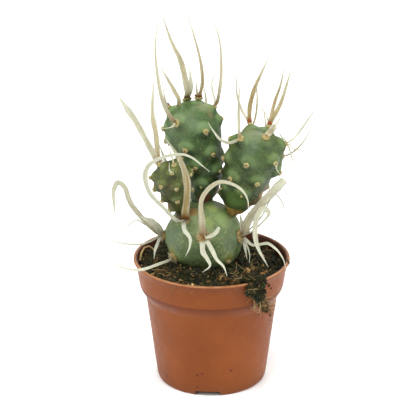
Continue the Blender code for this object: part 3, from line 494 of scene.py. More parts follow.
class Gathered:
    """Points, faces and values of one or more small pieces, on their way into one object."""

    def __init__(self):
        self.points, self.faces, self.values = [], [], []

    def add(self, points, faces, values):
        first = len(self.points)
        self.faces += [tuple(first + i for i in face) for face in faces]
        self.points += np.asarray(points).tolist()
        self.values += values

    def build(self, name, material, attribute):
        """The object in metres, kept in the model's box, with its values as an attribute."""
        mesh = bpy.data.meshes.new(name)
        inside = np.clip(np.asarray(self.points) * MM, *[np.array(corner) for corner in cad_box])
        mesh.from_pydata(inside.tolist(), [], self.faces)
        add_attribute(mesh, attribute, self.values)
        mesh.materials.append(material)
        mesh.shade_smooth()
        return add_object(name, mesh)


def direction(bearing, height):
    """A unit direction from a bearing in degrees and a height from -1 to 1."""
    flat = math.sqrt(1 - height * height)
    angle = math.radians(bearing)
    return Vector((flat * math.cos(angle), flat * math.sin(angle), height))


def scattered(draw, x, y, z, lift=0.0):
    """A random vector with the given spreads, lifted a little where it must not be zero."""
    return Vector((draw.gauss(0, x), draw.gauss(0, y), draw.gauss(0, z) + lift))


def basis(normal):
    """The matrix that turns the upward axis to a unit normal."""
    side = normal.orthogonal().normalized()
    return np.array([side, normal.cross(side), normal]).T


def noises(places, pitch, offset):
    """Smooth noise at each place, one value for each."""
    return np.array([noise.noise(Vector(place) * pitch + Vector(offset)) for place in places])


class JointShape:
    """The skin of one stem joint: an egg of revolution raised into a tubercle at each areole."""

    def __init__(self, joint):
        self.joint = joint
        self.root = Vector(joint.root)
        self.axis = Vector(joint.tip) - self.root
        self.turn = Vector((0, 0, 1)).rotation_difference(self.axis).to_matrix()
        self.bow = Vector((joint.bow, 0, 0))
        self.fullest = max(self.profile(step / 200) for step in range(-199, 200))
        self.near = {name: direction(*place) for name, place in joint.areoles.items()}
        self.far = self.far_areoles()
        self.areoles = [*self.near.items(), *((None, way) for way in self.far)]
        self.peaks = [self.skin(way) for _, way in self.areoles]

    def profile(self, height):
        """How wide the egg is at a height from -1 to 1, before it is scaled to its radius."""
        blunt = self.joint.blunt[height > 0]
        ends = max(0.0, 1 - abs(height) ** blunt) ** (1 / blunt)
        return ends * (1 + self.joint.egg * height)

    def skin(self, way):
        """The point of the smooth egg for a unit direction."""
        flat = Vector((way.x, way.y, 0))
        if flat.length > 0:
            flat.normalize()
        across = self.joint.radius * self.profile(way.z) / self.fullest
        along = (way.z + 1) / 2
        local = Vector((flat.x * across, flat.y * across, self.axis.length * along))
        return self.root + self.turn @ local + self.bow * 4 * along * (1 - along)

    def outward(self, way):
        """The outward normal of the smooth egg for a unit direction."""
        side = way.orthogonal().normalized()
        steps = []
        for turned in (side, way.cross(side)):
            beside = [way + turned * step for step in (NORMAL_STEP, -NORMAL_STEP)]
            ahead, behind = [self.skin(place.normalized()) for place in beside]
            steps.append(ahead - behind)
        return steps[0].cross(steps[1]).normalized()

    def far_areoles(self):
        """Areoles out of sight follow the golden angle, where none is placed already."""
        joint = self.joint
        spacing = FAR_SPACING * math.sqrt(4 * math.pi / joint.far_count)
        found = []
        for index in range(joint.far_count):
            height = 1 - 2 * (index + 0.5) / joint.far_count
            way = direction(math.degrees(index * GOLDEN_ANGLE), height)
            in_view = (self.turn @ way).dot(VIEWER) > FAR_OUT_OF_VIEW
            is_free = all(way.angle(other) > spacing for other in self.near.values())
            if height > joint.far_foot and is_free and not in_view:
                found.append(way)
        return found

    def point(self, way, lift):
        """The point at a given lift from the finished skin, with its tubercles."""
        base = self.skin(way)
        rise = 0.0
        for peak in self.peaks:
            share = (base - peak).length / self.joint.reach
            if share < 1:
                rise = max(rise, self.joint.bump * (1 - share * share) ** 2)
        return base + self.outward(way) * (rise + lift)

    def holds(self, place, margin):
        """Whether a place lies within the joint, or closer to its side than the margin."""
        along = (place - self.root).dot(self.axis) / self.axis.length_squared
        height = max(-0.95, min(0.95, 2 * along - 1))
        reach = self.joint.radius * self.profile(height) / self.fullest + self.joint.bump + margin
        beyond = margin / self.axis.length
        return -beyond < along < 1 + beyond and (place - self.root - self.axis * along).length < reach


def curve(points, span_steps=None):
    """A Catmull-Rom curve through points, in steps of a fine station where their number isn't given."""
    knots = [2 * points[0] - points[1], *points, 2 * points[-1] - points[-2]]
    fine = []
    for before, start, end, after in zip(knots, knots[1:], knots[2:], knots[3:]):
        steps = span_steps or max(2, round((end - start).length / FINE_STATION))
        for step in range(steps):
            t = step / steps
            bend = (2 * before - 5 * start + 4 * end - after) * t * t
            twist = (3 * start - before - 3 * end + after) * t ** 3
            fine.append(0.5 * (2 * start + (end - before) * t + bend + twist))
    return [*fine, points[-1]]


def smooth_route(points):
    """Points evenly along the curve through the given ones."""
    fine = curve(points, 12)
    run = [0.0]
    for a, b in zip(fine, fine[1:]):
        run.append(run[-1] + (b - a).length)
    count = max(5, round(run[-1] / SPINE_STATION) + 1)
    route = []
    index = 0
    for step in range(count):
        wanted = run[-1] * step / (count - 1)
        while index < len(run) - 2 and run[index + 1] < wanted:
            index += 1
        share = (wanted - run[index]) / (run[index + 1] - run[index])
        route.append(fine[index].lerp(fine[index + 1], min(1.0, share)))
    return route


def blade_frames(route, facing):
    """Width and face directions along the blade, which faces a given way at its middle."""
    ends = len(route) - 1
    ways = [(route[min(i + 1, ends)] - route[max(i - 1, 0)]).normalized() for i in range(len(route))]
    middle = len(route) // 2
    faces = [None] * len(route)
    faces[middle] = (facing - ways[middle] * facing.dot(ways[middle])).normalized()
    for order in (range(middle + 1, len(route)), range(middle - 1, -1, -1)):
        last = faces[middle]
        for i in order:
            last = (last - ways[i] * last.dot(ways[i])).normalized()
            faces[i] = last
    return [(way.cross(face), face) for way, face in zip(ways, faces)]


def blade_root(shape, way):
    """The first two points of a spine, from within its areole to just above it."""
    return [shape.point(way, -SPINE_SUNK), shape.point(way, 1.0)]


def placed_blade(shape, spine):
    """A spine of a joint's table, which faces the viewer."""
    root = blade_root(shape, shape.near[spine.areole])
    route = smooth_route(root + [Vector(place) for place in spine.route])
    return Blade(route, spine.width, spine.full, spine.cut, VIEWER)


def far_blade(shape, way, draw):
    """A spine on the far side, bending upwards from its areole."""
    outward = shape.outward(way)
    length = draw.uniform(*shape.joint.far_length)
    heading = (outward + FAR_RISE * shape.axis.normalized()).normalized()
    spread = Vector([draw.uniform(*span) for span in FAR_SCATTER])
    heading = (heading + FAR_SPREAD * spread).normalized()
    curl = FAR_CURL * Vector((draw.uniform(-1, 1), draw.uniform(-1, 0), 1.2))
    route = blade_root(shape, way)
    for _ in range(FAR_LEGS):
        route.append(route[-1] + heading * length / FAR_LEGS)
        heading = (heading + curl).normalized()
    return Blade(smooth_route(route), draw.uniform(*FAR_WIDTH), 0.3, False, outward)


def is_clear(route, shapes, spines):
    """Whether a far spine stays over the pot and clear of the given joints and their spines."""
    for place in route:
        if place.y > FAR_BACK or abs(place.x) > FAR_SIDE or place.z > FAR_TOP:
            return False
        if any(shape.holds(place, FAR_FROM_JOINT) for shape in shapes):
            return False
        if any((place - other).length < FAR_FROM_SPINE for other in spines):
            return False
    return True


def far_blades(name, shapes, blades):
    """The spines on the far side of one joint, which keep clear of the other joints."""
    draw = random.Random(SEED + len(name))
    shape = shapes[name]
    others = [shapes[other] for other in JOINTS if other != name]
    taken = [place for other in JOINTS if other != name for blade in blades[other] for place in blade.route]
    found = []
    for way in shape.far:
        if way.z < shape.joint.far_lowest:
            continue
        tries = [far_blade(shape, way, draw) for _ in range(FAR_TRIES)]
        clear = [blade for blade in tries if is_clear(blade.route, others, taken)]
        found += clear[:shape.joint.far_each]
    return found


def skin_points(shape, ways):
    """Many points of a joint's smooth egg at once."""
    joint = shape.joint
    flat = ways[:, :2] / np.maximum(np.linalg.norm(ways[:, :2], axis=1), 1e-9)[:, None]
    height = ways[:, 2]
    blunt = np.where(height > 0, joint.blunt[1], joint.blunt[0])
    ends = np.maximum(0, 1 - np.abs(height) ** blunt) ** (1 / blunt)
    across = joint.radius * ends * (1 + joint.egg * height) / shape.fullest
    along = (height + 1) / 2
    local = np.column_stack([flat * across[:, None], shape.axis.length * along])
    bow = (4 * along * (1 - along))[:, None] * np.array(shape.bow)
    return np.array(shape.root) + local @ np.array(shape.turn).T + bow


def skin_normals(shape, ways):
    """Many outward normals of a joint's smooth egg at once."""
    upright = np.abs(ways[:, 2:3]) > 0.9
    side = np.cross(ways, np.where(upright, [[1.0, 0, 0]], [[0, 0, 1.0]]))
    side /= np.linalg.norm(side, axis=1)[:, None]
    steps = []
    for turned in (side, np.cross(ways, side)):
        beside = [ways + turned * step for step in (NORMAL_STEP, -NORMAL_STEP)]
        ahead, behind = [skin_points(shape, way / np.linalg.norm(way, axis=1)[:, None]) for way in beside]
        steps.append(ahead - behind)
    normal = np.cross(*steps)
    return normal / np.linalg.norm(normal, axis=1)[:, None]


def sphere_grid(columns, rows):
    """Unit directions over a ball and the faces between them."""
    down = np.linspace(0, math.pi, rows + 1)[1:-1]
    around = np.linspace(0, math.tau, columns, endpoint=False)
    down, around = np.meshgrid(down, around, indexing="ij")
    ways = np.stack([np.sin(down) * np.cos(around), np.sin(down) * np.sin(around), np.cos(down)], -1)
    ways = np.vstack([ways.reshape(-1, 3), [[1e-6, 0, 1]], [[1e-6, 0, -1]]])
    faces = []
    for i in range(rows - 2):
        for j in range(columns):
            k = (j + 1) % columns
            faces.append((i * columns + j, (i + 1) * columns + j, (i + 1) * columns + k, i * columns + k))
    last = (rows - 2) * columns
    for j in range(columns):
        k = (j + 1) % columns
        faces += [(len(ways) - 2, j, k), (len(ways) - 1, last + k, last + j)]
    return ways, faces


def tubercle_places(shape, base):
    """Each point's distance from every areole, and how far up the joint from it the point lies."""
    axis = shape.axis.normalized()
    uphill = []
    for _, way in shape.areoles:
        outward = shape.outward(way)
        slope = axis - outward * axis.dot(outward)
        uphill.append(slope.normalized() if slope.length > 0.25 else Vector((0, 0, 0)))
    offset = base[:, None] - np.array(shape.peaks)[None]
    return np.linalg.norm(offset, axis=2), np.einsum("ijk,jk->ij", offset, np.array(uphill))


def hood_light_and_shade(apart, upward, reach):
    """Painted light round each areole, as 0 to 1: a pale crescent above it as painted highlight, and a dark
    one below it as painted shade.
    """
    steep = upward / np.maximum(apart, 0.01)
    pale = np.exp(-0.5 * ((apart - 0.50 * reach) / (0.17 * reach)) ** 2) * np.clip(steep + 0.25, 0, 1)
    dark = np.exp(-0.5 * ((apart - 0.42 * reach) / (0.20 * reach)) ** 2) * np.clip(0.1 - steep, 0, 1)
    return 0.5 + 0.5 * np.clip(pale.sum(axis=1) - dark.sum(axis=1), -1, 1)


def make_stem(name, shape):
    """A joint's skin with its tubercles and its corky neck."""
    joint = shape.joint
    ways, faces = sphere_grid(*SKIN_GRID)
    base = skin_points(shape, ways)
    apart, upward = tubercle_places(shape, base)
    slope = np.where(upward > 0, UPPER_SLOPE, LOWER_SLOPE)
    skewed = np.sqrt(np.maximum(0, apart ** 2 - upward ** 2) + (upward * slope) ** 2)
    bumps = (1 - np.minimum(1, skewed / joint.reach) ** 2) ** 2
    rise = np.minimum(1, np.sum(bumps ** 2.5, axis=1) ** 0.4)
    lift = joint.bump * rise
    for size, pitch, offset in RIPPLES:
        lift = lift + size * noises(base, pitch, offset)
    # rise, height and hood become painted light and shade in the skin's colour
    form = np.column_stack([rise, (ways[:, 2] + 1) / 2, hood_light_and_shade(apart, upward, joint.reach)])
    stem = Gathered()
    stem.add(base + skin_normals(shape, ways) * lift[:, None], faces, form.tolist())
    if joint.neck:
        ways, faces = sphere_grid(*NECK_GRID)
        swell = 1 + 0.12 * noises(ways, 2.5, (0, 0, 0))
        ball = np.array(joint.neck) + ways * joint.neck_radius * swell[:, None]
        stem.add(ball, faces, [(0.0, 0.0, 0.5)] * len(ways))
    obj = stem.build(name.replace("segment", "stem"), stem_material(name), "form")
    dress(obj, name.replace("segment", "skin"), name)


def tube_faces(last, count):
    """The faces of a closed tube with a ring of count points at each station up to the last."""
    faces = []
    for i in range(last):
        for k in range(count):
            n = (k + 1) % count
            faces.append((i * count + k, i * count + n, (i + 1) * count + n, (i + 1) * count + k))
    faces.append(tuple(range(count - 1, -1, -1)))
    faces.append(tuple(last * count + k for k in range(count)))
    return faces


def paper_strip(blade, draw, foot):
    """One papery spine: a thin, slightly troughed and wavering strip, as points, faces and shares."""
    foot_reach = 0.07 if foot < 1 else 0.3
    route = curve(blade.route)
    last = len(route) - 1
    phase = draw.uniform(0, 90)
    trough = draw.uniform(*PAPER_TROUGH)
    ring = [k / PAPER_ACROSS * 2 - 1 for k in range(PAPER_ACROSS + 1)]
    points, shares = [], []
    for i, (place, (across, face)) in enumerate(zip(route, blade_frames(route, blade.facing))):
        along = i / last
        width = foot + (1 - foot) * min(1.0, along / foot_reach)
        if blade.cut:
            width *= 1 - 0.35 * max(0.0, (along - 0.95) / 0.05) ** 4
        else:
            width *= min(1.0, ((1 - along) / (1 - blade.full)) ** 0.8)
        width *= 1 + PAPER_WAVER * noise.noise(Vector((along * 9, phase, 0)))
        half = max(PAPER_NARROWEST, blade.width * width / 2)
        lean = PAPER_LEAN * noise.noise(Vector((along * 3, phase, 4)))
        side = across * math.cos(lean) + face * math.sin(lean)
        front = face * math.cos(lean) - across * math.sin(lean)
        thick = PAPER_THICKNESS / 2 * (1 - 0.5 * along)
        for sign, order in ((1, ring), (-1, ring[-2:0:-1])):
            for x in order:
                ruffle = PAPER_RUFFLE * half * noise.noise(Vector((along * 26, x * 2, phase)))
                level = trough * half * (x * x - 0.5) + ruffle + sign * thick * math.sqrt(1.02 - x * x)
                points.append(place + side * half * x + front * level)
                shares.append((x / 2 + 0.5, along))
    return points, tube_faces(last, 2 * PAPER_ACROSS), shares


def make_spines(name, blades, material):
    """A joint's papery spines in one piece, each with its own tone and grain."""
    draw = random.Random(SEED + 40 + len(name))
    tones = SPINE_TONES[name]
    spines = Gathered()
    for index, blade in enumerate(blades):
        tone = tones[index] if index < len(tones) else draw.uniform(*FAR_TONES)
        number = draw.random()
        points, faces, shares = paper_strip(blade, draw, FEET.get(name, {}).get(index, FOOT_WIDTH))
        spines.add(points, faces, [(*share, tone, number) for share in shares])
    dress(spines.build(name.replace("segment", "spines"), material, "strip"), "papery_spine")


def linear(colour):
    """A shader colour from a screen colour of 0 to 255."""
    return tuple((c / 255 / 12.92) if c < 10.3 else ((c / 255 + 0.055) / 1.055) ** 2.4 for c in colour)


class Value:
    """An output of a shader node. Numbers among them can be added, subtracted and multiplied."""

    def __init__(self, shader, socket):
        self.shader, self.socket = shader, socket

    def __add__(self, other):
        return self.shader.math("ADD", self, other)

    def __sub__(self, other):
        return self.shader.math("SUBTRACT", self, other)

    def __mul__(self, other):
        return self.shader.math("MULTIPLY", self, other)

    def __abs__(self):
        return self.shader.math("ABSOLUTE", self)

    def clamped(self):
        self.socket.node.use_clamp = True
        return self

    def beside(self, name):
        """Another output of the same node."""
        return Value(self.shader, self.socket.node.outputs[name])


class Shader:
    """A material's node tree, with short ways to add its nodes."""

    def __init__(self, name):
        self.material = bpy.data.materials.new(name)
        self.material.use_nodes = True
        self.tree = self.material.node_tree
        self.base = self.tree.nodes["Principled BSDF"]

    def node(self, kind, output, inputs, **settings):
        """Adds a node with its settings and inputs, and gives one of its outputs."""
        node = self.tree.nodes.new("ShaderNode" + kind)
        for name, value in settings.items():
            setattr(node, name, value)
        for key, value in inputs.items():
            self.put(node.inputs[key], value)
        return Value(self, node.outputs[output])

    def put(self, socket, value):
        """Sets a socket, or links it to an output."""
        if isinstance(value, Value):
            self.tree.links.new(value.socket, socket)
        else:
            socket.default_value = (*value, 1.0) if socket.type == "RGBA" else value

    def place(self):
        return self.node("TexCoord", "Object", {})

    def attribute(self, name):
        """The four numbers that a mesh keeps for each point."""
        colour = self.node("Attribute", "Color", {}, attribute_name=name)
        red = self.node("SeparateColor", "Red", {"Color": colour})
        return red, red.beside("Green"), red.beside("Blue"), colour.beside("Alpha")

    def noise(self, vector, scale, detail, roughness=0.55, distortion=0.0):
        inputs = dict(Vector=vector, Scale=scale, Detail=detail, Roughness=roughness, Distortion=distortion)
        return self.node("TexNoise", "Fac", inputs)

    def math(self, operation, a, b=0.0):
        return self.node("Math", 0, {0: a, 1: b}, operation=operation)

    def remap(self, value, low, high, to_low=0.0, to_high=1.0, kind="SMOOTHSTEP"):
        inputs = {"Value": value, "From Min": low, "From Max": high, "To Min": to_low, "To Max": to_high}
        return self.node("MapRange", "Result", inputs, interpolation_type=kind)

    def mix(self, share, a, b):
        return self.node("Mix", "Result", {"Factor": share, "A": a, "B": b}, data_type="RGBA")

    def tint(self, colour, share, tone):
        """A colour with a share of a screen colour in it."""
        return self.mix(share, colour, linear(tone))

    def ramp(self, value, *stops):
        """A colour from a value, by (position, screen colour) stops."""
        colour = self.node("ValToRGB", "Color", {"Fac": value})
        elements = colour.socket.node.color_ramp.elements
        while len(elements) < len(stops):
            elements.new(0.5)
        for element, (position, tone) in zip(elements, stops):
            element.position = position
            element.color = (*linear(tone), 1.0)
        return colour

    def spot(self, place, where, reach, ragged, core, strength):
        """A blot round a point, which fades from its core, a share of its reach, to its ragged rim."""
        middle = [value * MM for value in where]
        away = self.node("VectorMath", "Value", {0: place, 1: middle}, operation="DISTANCE") + ragged
        return self.remap(away, core * reach * MM, reach * MM, strength, 0.0)

    def bump(self, height, strength, distance, normal=None):
        inputs = {"Height": height, "Strength": strength, "Distance": distance}
        if normal:
            inputs["Normal"] = normal
        return self.node("Bump", "Normal", inputs)

    def finish(self, colour, roughness, specular, normal=None):
        inputs = {"Base Color": colour, "Roughness": roughness, "Specular IOR Level": specular}
        if normal:
            inputs["Normal"] = normal
        for name, value in inputs.items():
            self.put(self.base.inputs[name], value)
        return self.material


def stem_material(name):
    """Waxy mottled skin and corky places, with painted highlight on the tubercle tops and painted shade in
    the hollows.
    """
    skin = SKINS[name]
    blotch = [0.5 * (a + b) for a, b in zip(skin.middle, (60, 58, 26))]
    shader = Shader(name + " skin")
    place = shader.place()
    rise, height, shade, _ = shader.attribute("form")
    broad = shader.noise(place, 95, 3)
    patchy = shader.noise(place, 330, 4, 0.6)
    fine = shader.noise(place, 1500, 3, 0.6)
    speck = shader.noise(place, 4200, 2)
    streaks = shader.noise(place, 420, 4, 0.65, 1.2)
    mottle = shader.noise(place, 760, 5, 0.75, 0.9)
    # painted light and shade: paler on tubercle tops, high up and above areoles, darker in hollows, low down
    # and below areoles, broken by noise
    level = (shade - 0.5) * (2 * skin.hood) + rise * 0.20 + broad * 0.65 + patchy * 0.40 + height * 0.30
    level = shader.remap(level, 0.42, 1.16, kind="LINEAR")
    colour = shader.ramp(level, (0.0, skin.dark), (0.45, skin.middle), (1.0, skin.light))
    # What each layer follows, where it starts and is full, its share there and its colour
    layers = (
        (shader.noise(place, 160, 2), 0.5, 0.72, 0.35, (84, 88, 38)),
        (streaks, 0.52, 0.68, 0.32, (118, 126, 62)),
        (streaks, 0.46, 0.34, 0.24, (70, 100, 74)),
        (mottle, 0.52, 0.65, skin.scurf_share, skin.scurf),
        (mottle, 0.47, 0.35, skin.blotch_share, blotch),
        # painted highlight: the pale brow above each areole
        (shade, 0.6, 1.0, 0.5 * skin.hood, (106, 130, 88)),
        (fine, 0.45, 0.8, 0.14, (126, 142, 100)),
        (speck, 0.62, 0.72, 0.35, [c * 0.6 for c in skin.dark]),
    )
    for source, start, full, share, tone in layers:
        colour = shader.tint(colour, shader.remap(source, start, full, 0.0, share), tone)
    for where, reach, mark, strength in STEM_MARKS[name]:
        share = shader.spot(place, where, reach, (patchy - 0.5) * (0.9 * reach * MM), 0.4, strength)
        dull = linear([c * (1 - 0.5 * strength ** 2) for c in mark])
        colour = shader.mix(share, colour, shader.mix(fine, dull, linear(mark)))
    normal = shader.bump(patchy * 0.6 + fine * 0.4, 0.35, 0.0005)
    normal = shader.bump(speck, 0.12, 0.0001, normal)
    return shader.finish(colour, shader.remap(fine, 0.3, 0.7, 0.46, 0.66), 0.3, normal)


def paper_material():
    """Papery spines: cream with paler edges, tan fibres along them and a brown root."""
    shader = Shader("papery spine")
    across, along, tone, number = shader.attribute("strip")
    middle = shader.remap(abs(across - 0.5), 0.06, 0.46, 1.0, 0.0)
    grid = {"X": across * 9.0, "Y": along * 5.0, "Z": number * 40.0}
    lengthways = shader.node("CombineXYZ", "Vector", grid)
    fibres = shader.noise(lengthways, 1.0, 5, 0.65)
    stains = shader.noise(lengthways, 0.45, 2, 0.5)
    fleck = shader.remap(shader.noise(shader.place(), 900, 3, 0.6), 0.52, 0.7)
    white = shader.ramp(fibres, (0.3, (188, 191, 170)), (0.5, (212, 214, 194)), (0.75, (230, 230, 214)))
    tan = shader.ramp(fibres, (0.28, (130, 106, 58)), (0.5, (176, 154, 98)), (0.75, (206, 192, 142)))
    share = tone * (middle * 0.4 + 0.7) * shader.remap(stains, 0.3, 0.6, 0.55, 1.25)
    share = (share * shader.remap(along, 0.35, 1.0, 1.0, 0.3)).clamped()
    colour = shader.tint(shader.mix(share, white, tan), fleck * (tone * 0.4), (104, 76, 42))
    root = (shader.remap(along, 0.0, 0.2, 1.0, 0.0) * (tone * 1.5 + 0.1)).clamped()
    colour = shader.mix(root, colour, shader.ramp(fibres, (0.35, (118, 76, 28)), (0.65, (166, 124, 60))))
    shader.finish(colour, 0.55, 0.35, shader.bump(fibres, 0.5, 0.00025))
    opaque = Value(shader, shader.base.outputs["BSDF"])
    glow = shader.node("BsdfTranslucent", "BSDF", {"Color": colour})
    both = shader.node("MixShader", "Shader", {"Fac": PAPER_GLOW, 1: opaque, 2: glow})
    shader.put(shader.tree.nodes["Material Output"].inputs["Surface"], both)
    return shader.material


def wool_material():
    """Pale or brown wool round a rusty or shadowed heart."""
    shader = Shader("areole wool")
    heart, tone, _, _ = shader.attribute("tuft")
    fluff = shader.noise(shader.place(), 2600, 3, 0.7)
    pale = shader.ramp(fluff, (0.3, (96, 90, 50)), (0.5, (154, 146, 96)), (0.75, (210, 204, 160)))
    brown = shader.ramp(fluff, (0.3, (84, 56, 24)), (0.5, (140, 102, 52)), (0.75, (192, 158, 98)))
    rusty = shader.ramp(fluff, (0.3, (76, 32, 15)), (0.5, (122, 62, 32)), (0.72, (172, 110, 64)))
    shadowed = shader.ramp(fluff, (0.3, (40, 24, 12)), (0.5, (76, 50, 24)), (0.72, (128, 96, 50)))
    colour = shader.mix(heart, shader.mix(tone, pale, brown), shader.mix(tone, shadowed, rusty))
    return shader.finish(colour, 0.9, 0.15, shader.bump(fluff, 0.6, 0.0003))


def tinted_material(name, attribute, stops, roughness, grain, relief):
    """A material whose colour follows each piece's own tint, broken by fine grain."""
    shader = Shader(name)
    tint, _, _, _ = shader.attribute(attribute)
    specks = shader.noise(shader.place(), grain, 4, 0.65)
    colour = shader.ramp((tint + (specks - 0.5) * 0.3).clamped(), *stops)
    return shader.finish(colour, roughness, 0.25, shader.bump(specks, 0.6, relief))


def peat_material():
    """Dark crumbly peat with pale grains, a green tinge and straw in places."""
    shader = Shader("peat")
    place = shader.place()
    clod = shader.noise(place, 260, 5, 0.7)
    grain = shader.noise(place, 1300, 4, 0.75)
    colour = shader.ramp(clod, (0.32, (16, 16, 7)), (0.5, (40, 38, 19)), (0.68, (70, 60, 34)))
    colour = shader.tint(colour, shader.remap(grain, 0.62, 0.72, 0.0, 0.5), (98, 78, 44))
    green = shader.remap(shader.noise(place, 120, 2), 0.48, 0.62, 0.0, 0.5)
    colour = shader.tint(colour, green, (34, 44, 18))
    for where, reach in STRAW_SPOTS:
        straw = shader.spot(place, where, reach, clod * 0.002, 0.5, 0.85)
        colour = shader.tint(colour, straw * shader.remap(grain, 0.35, 0.6), (140, 96, 50))
    return shader.finish(colour, 0.92, 0.1, shader.bump(clod + grain, 1.0, 0.0012))


def pot_material():
    """Moulded terracotta-coloured plastic: satin, a little scuffed and flecked with dirt, with painted shade
    under the band and the lip, dirt and painted shade on the inside wall, a pale rim of dust and painted
    highlight on the lip, and greyer and darker towards the foot.
    """
    shader = Shader("terracotta plastic")
    place = shader.place()
    inside, _, _, _ = shader.attribute("wall")
    height = shader.node("SeparateXYZ", "Z", {"Vector": place})
    broad = shader.noise(place, 38, 3, 0.5)
    flow = shader.noise(place, 210, 4, 0.6)
    grain = shader.noise(place, 2400, 3, 0.6)
    colour = shader.ramp(broad, (0.3, (113, 55, 12)), (0.5, (118, 58, 13)), (0.72, (127, 65, 18)))
    colour = shader.tint(colour, shader.remap(flow, 0.55, 0.75, 0.0, 0.25), (140, 80, 36))
    colour = shader.tint(colour, shader.remap(grain, 0.6, 0.75, 0.0, 0.2), (94, 43, 13))
    # painted shade under the band and the lip
    for top, foot, strength in EDGE_SHADES:
        shade = shader.remap(height, foot * MM, top * MM, 0.0, strength)
        below = shader.remap(height, top * MM, (top + 0.4) * MM, 1.0, 0.0)
        colour = shader.tint(colour, shade * below, (78, 28, 10))
    # a pale rim on top of the lip: dust and a painted highlight
    lip = shader.remap(height, (POT_HEIGHT - 1.0) * MM, (POT_HEIGHT - 0.2) * MM, 0.0, 0.8)
    colour = shader.tint(colour, lip * flow, (176, 134, 96))
    # greyer and darker towards the foot of the pot
    near_foot = shader.remap(height, 0.0, 0.012, 0.35, 0.0)
    colour = shader.tint(colour, near_foot * flow, (96, 66, 40))
    for where, reach in DIRT_SPECKS:
        colour = shader.tint(colour, shader.spot(place, where, reach, flow * 0.0005, 0.7, 0.9), (78, 32, 14))
    # the inside wall darkened: dirt and painted shade
    colour = shader.tint(colour, inside * shader.remap(flow, 0.3, 0.7, 0.5, 0.85), (34, 15, 5))
    groove = shader.remap(abs(height - MOULD_LINE * MM), 0.0001, 0.0005)
    normal = shader.bump(groove, 0.25, 0.0002)
    normal = shader.bump(flow, 0.12, 0.0004, normal)
    normal = shader.bump(grain, 0.10, 0.00008, normal)
    return shader.finish(colour, shader.remap(flow, 0.3, 0.7, 0.4, 0.54), 0.19, normal)


def ball_mesh(subdivisions):
    """Points and faces of a ball of radius 1."""
    bm = bmesh.new()
    bmesh.ops.create_icosphere(bm, subdivisions=subdivisions, radius=1.0)
    points = np.array([v.co for v in bm.verts])
    faces = [tuple(v.index for v in f.verts) for f in bm.faces]
    bm.free()
    return points, faces


def make_areoles(shapes):
    """Every areole: a woolly cushion with a rusty middle, ringed and topped by short bristles."""
    draw = random.Random(SEED + 90)
    ball = ball_mesh(3)
    wool, hairs = Gathered(), Gathered()
    for name, shape in shapes.items():
        for key, way in shape.areoles:
            grow_areole(wool, hairs, ball, name, shape, key, way, draw)
    stops = ((0.0, (62, 38, 20)), (0.3, (112, 90, 48)), (0.5, (170, 158, 106)), (1.0, (222, 218, 186)))
    bristle = tinted_material("bristles", "tuft", stops, 0.6, 900, 0.0001)
    dress(wool.build("areole_wool", wool_material(), "tuft"), "areole_wool")
    dress(hairs.build("areole_bristles", bristle, "tuft"), "areole_wool")


def grow_areole(wool, hairs, ball, name, shape, key, way, draw):
    """One areole: its wool, the pale collar and rusty knob of a tall one, and its bristles."""
    joint = shape.joint
    is_tall = key in JOINTS[name][2]
    stalk = joint.pad_rise * (TALL_AREOLE if is_tall else 1.0)
    wide = joint.pad_radius * WADS.get(name, {}).get(key, PLAIN_WAD) * draw.uniform(*WAD_SPAN)
    high = joint.pad_rise * 0.7 + 0.5
    is_wad = name == "base_segment" and key in shape.near
    tone = 0.6 if is_wad else draw.uniform(0.0, 0.35)
    centre = np.array(shape.point(way, -0.1))
    turn = basis(shape.outward(way))
    points, faces = ball

    def add_ball(size, lift, rough, values):
        local = points * rough[:, None] * size + [0, 0, lift]
        wool.add(centre + local @ turn.T, faces, values)

    rough = 1 + WOOL_RAGGED * noises(points, 2.8, centre)
    inner = np.clip(1.2 - 2.4 * np.linalg.norm(points[:, :2], axis=1), 0, 0.85)
    add_ball([wide, wide, high], 0, rough, [(value, tone, 0) for value in inner])
    if is_tall or key == "crown_left":
        knob = KNOBS.get(name, {}).get(key, 1.0)
        add_ball([1.35 * knob, 1.35 * knob, 1.0], joint.pad_rise * 0.9, rough, [(0.0, 0.1, 0)] * len(points))
        high = stalk
    if is_tall:
        rust = 1.0 if name == "right_segment" else 0.5
        ragged = 1 + KNOB_RAGGED * noises(points, 3.4, centre)
        add_ball([1.15 * knob, 1.15 * knob, 1.25], stalk * 0.85, ragged, [(1.0, rust, 0)] * len(points))
    for _ in range(round(BRISTLES * wide * (3.2 if is_wad else 0.8))):
        angle = draw.uniform(0, math.tau)
        out = draw.uniform(0.15, 1.0) ** 0.6
        around = np.array([math.cos(angle), math.sin(angle), 0])
        foot = around * out * wide * 0.85 + [0, 0, high * (1 - 0.6 * out)]
        lean = around * out + np.array([draw.gauss(0, 0.2), draw.gauss(0, 0.2), 1.05 - 0.75 * out])
        head = foot + lean * draw.uniform(0.6, 1.6 if is_wad else 1.3) * min(1.5, wide)
        deep = is_tall or (out < 0.35 and key not in PALE_HEARTS)
        tint = draw.uniform(0.0, 0.3) if deep else draw.uniform(0.5 - 0.4 * tone, 1.0)
        add_hair(hairs, centre + turn @ foot, centre + turn @ head, tint)


def add_hair(hairs, foot, head, tint):
    """A stiff bristle: a thin three-sided pyramid."""
    turn = basis(Vector(head - foot).normalized())
    corners = [(math.cos(math.tau * k / 3), math.sin(math.tau * k / 3), 0) for k in range(3)]
    ring = [foot + turn @ (np.array(corner) * BRISTLE_RADIUS) for corner in corners]
    hairs.add([*ring, head], [(0, 1, 3), (1, 2, 3), (2, 0, 3), (2, 1, 0)], [(tint, 0, 0)] * 4)


def body_radius(height):
    """The radius of the pot's wall below its shoulder."""
    return FOOT_RADIUS + BODY_TAPER * height


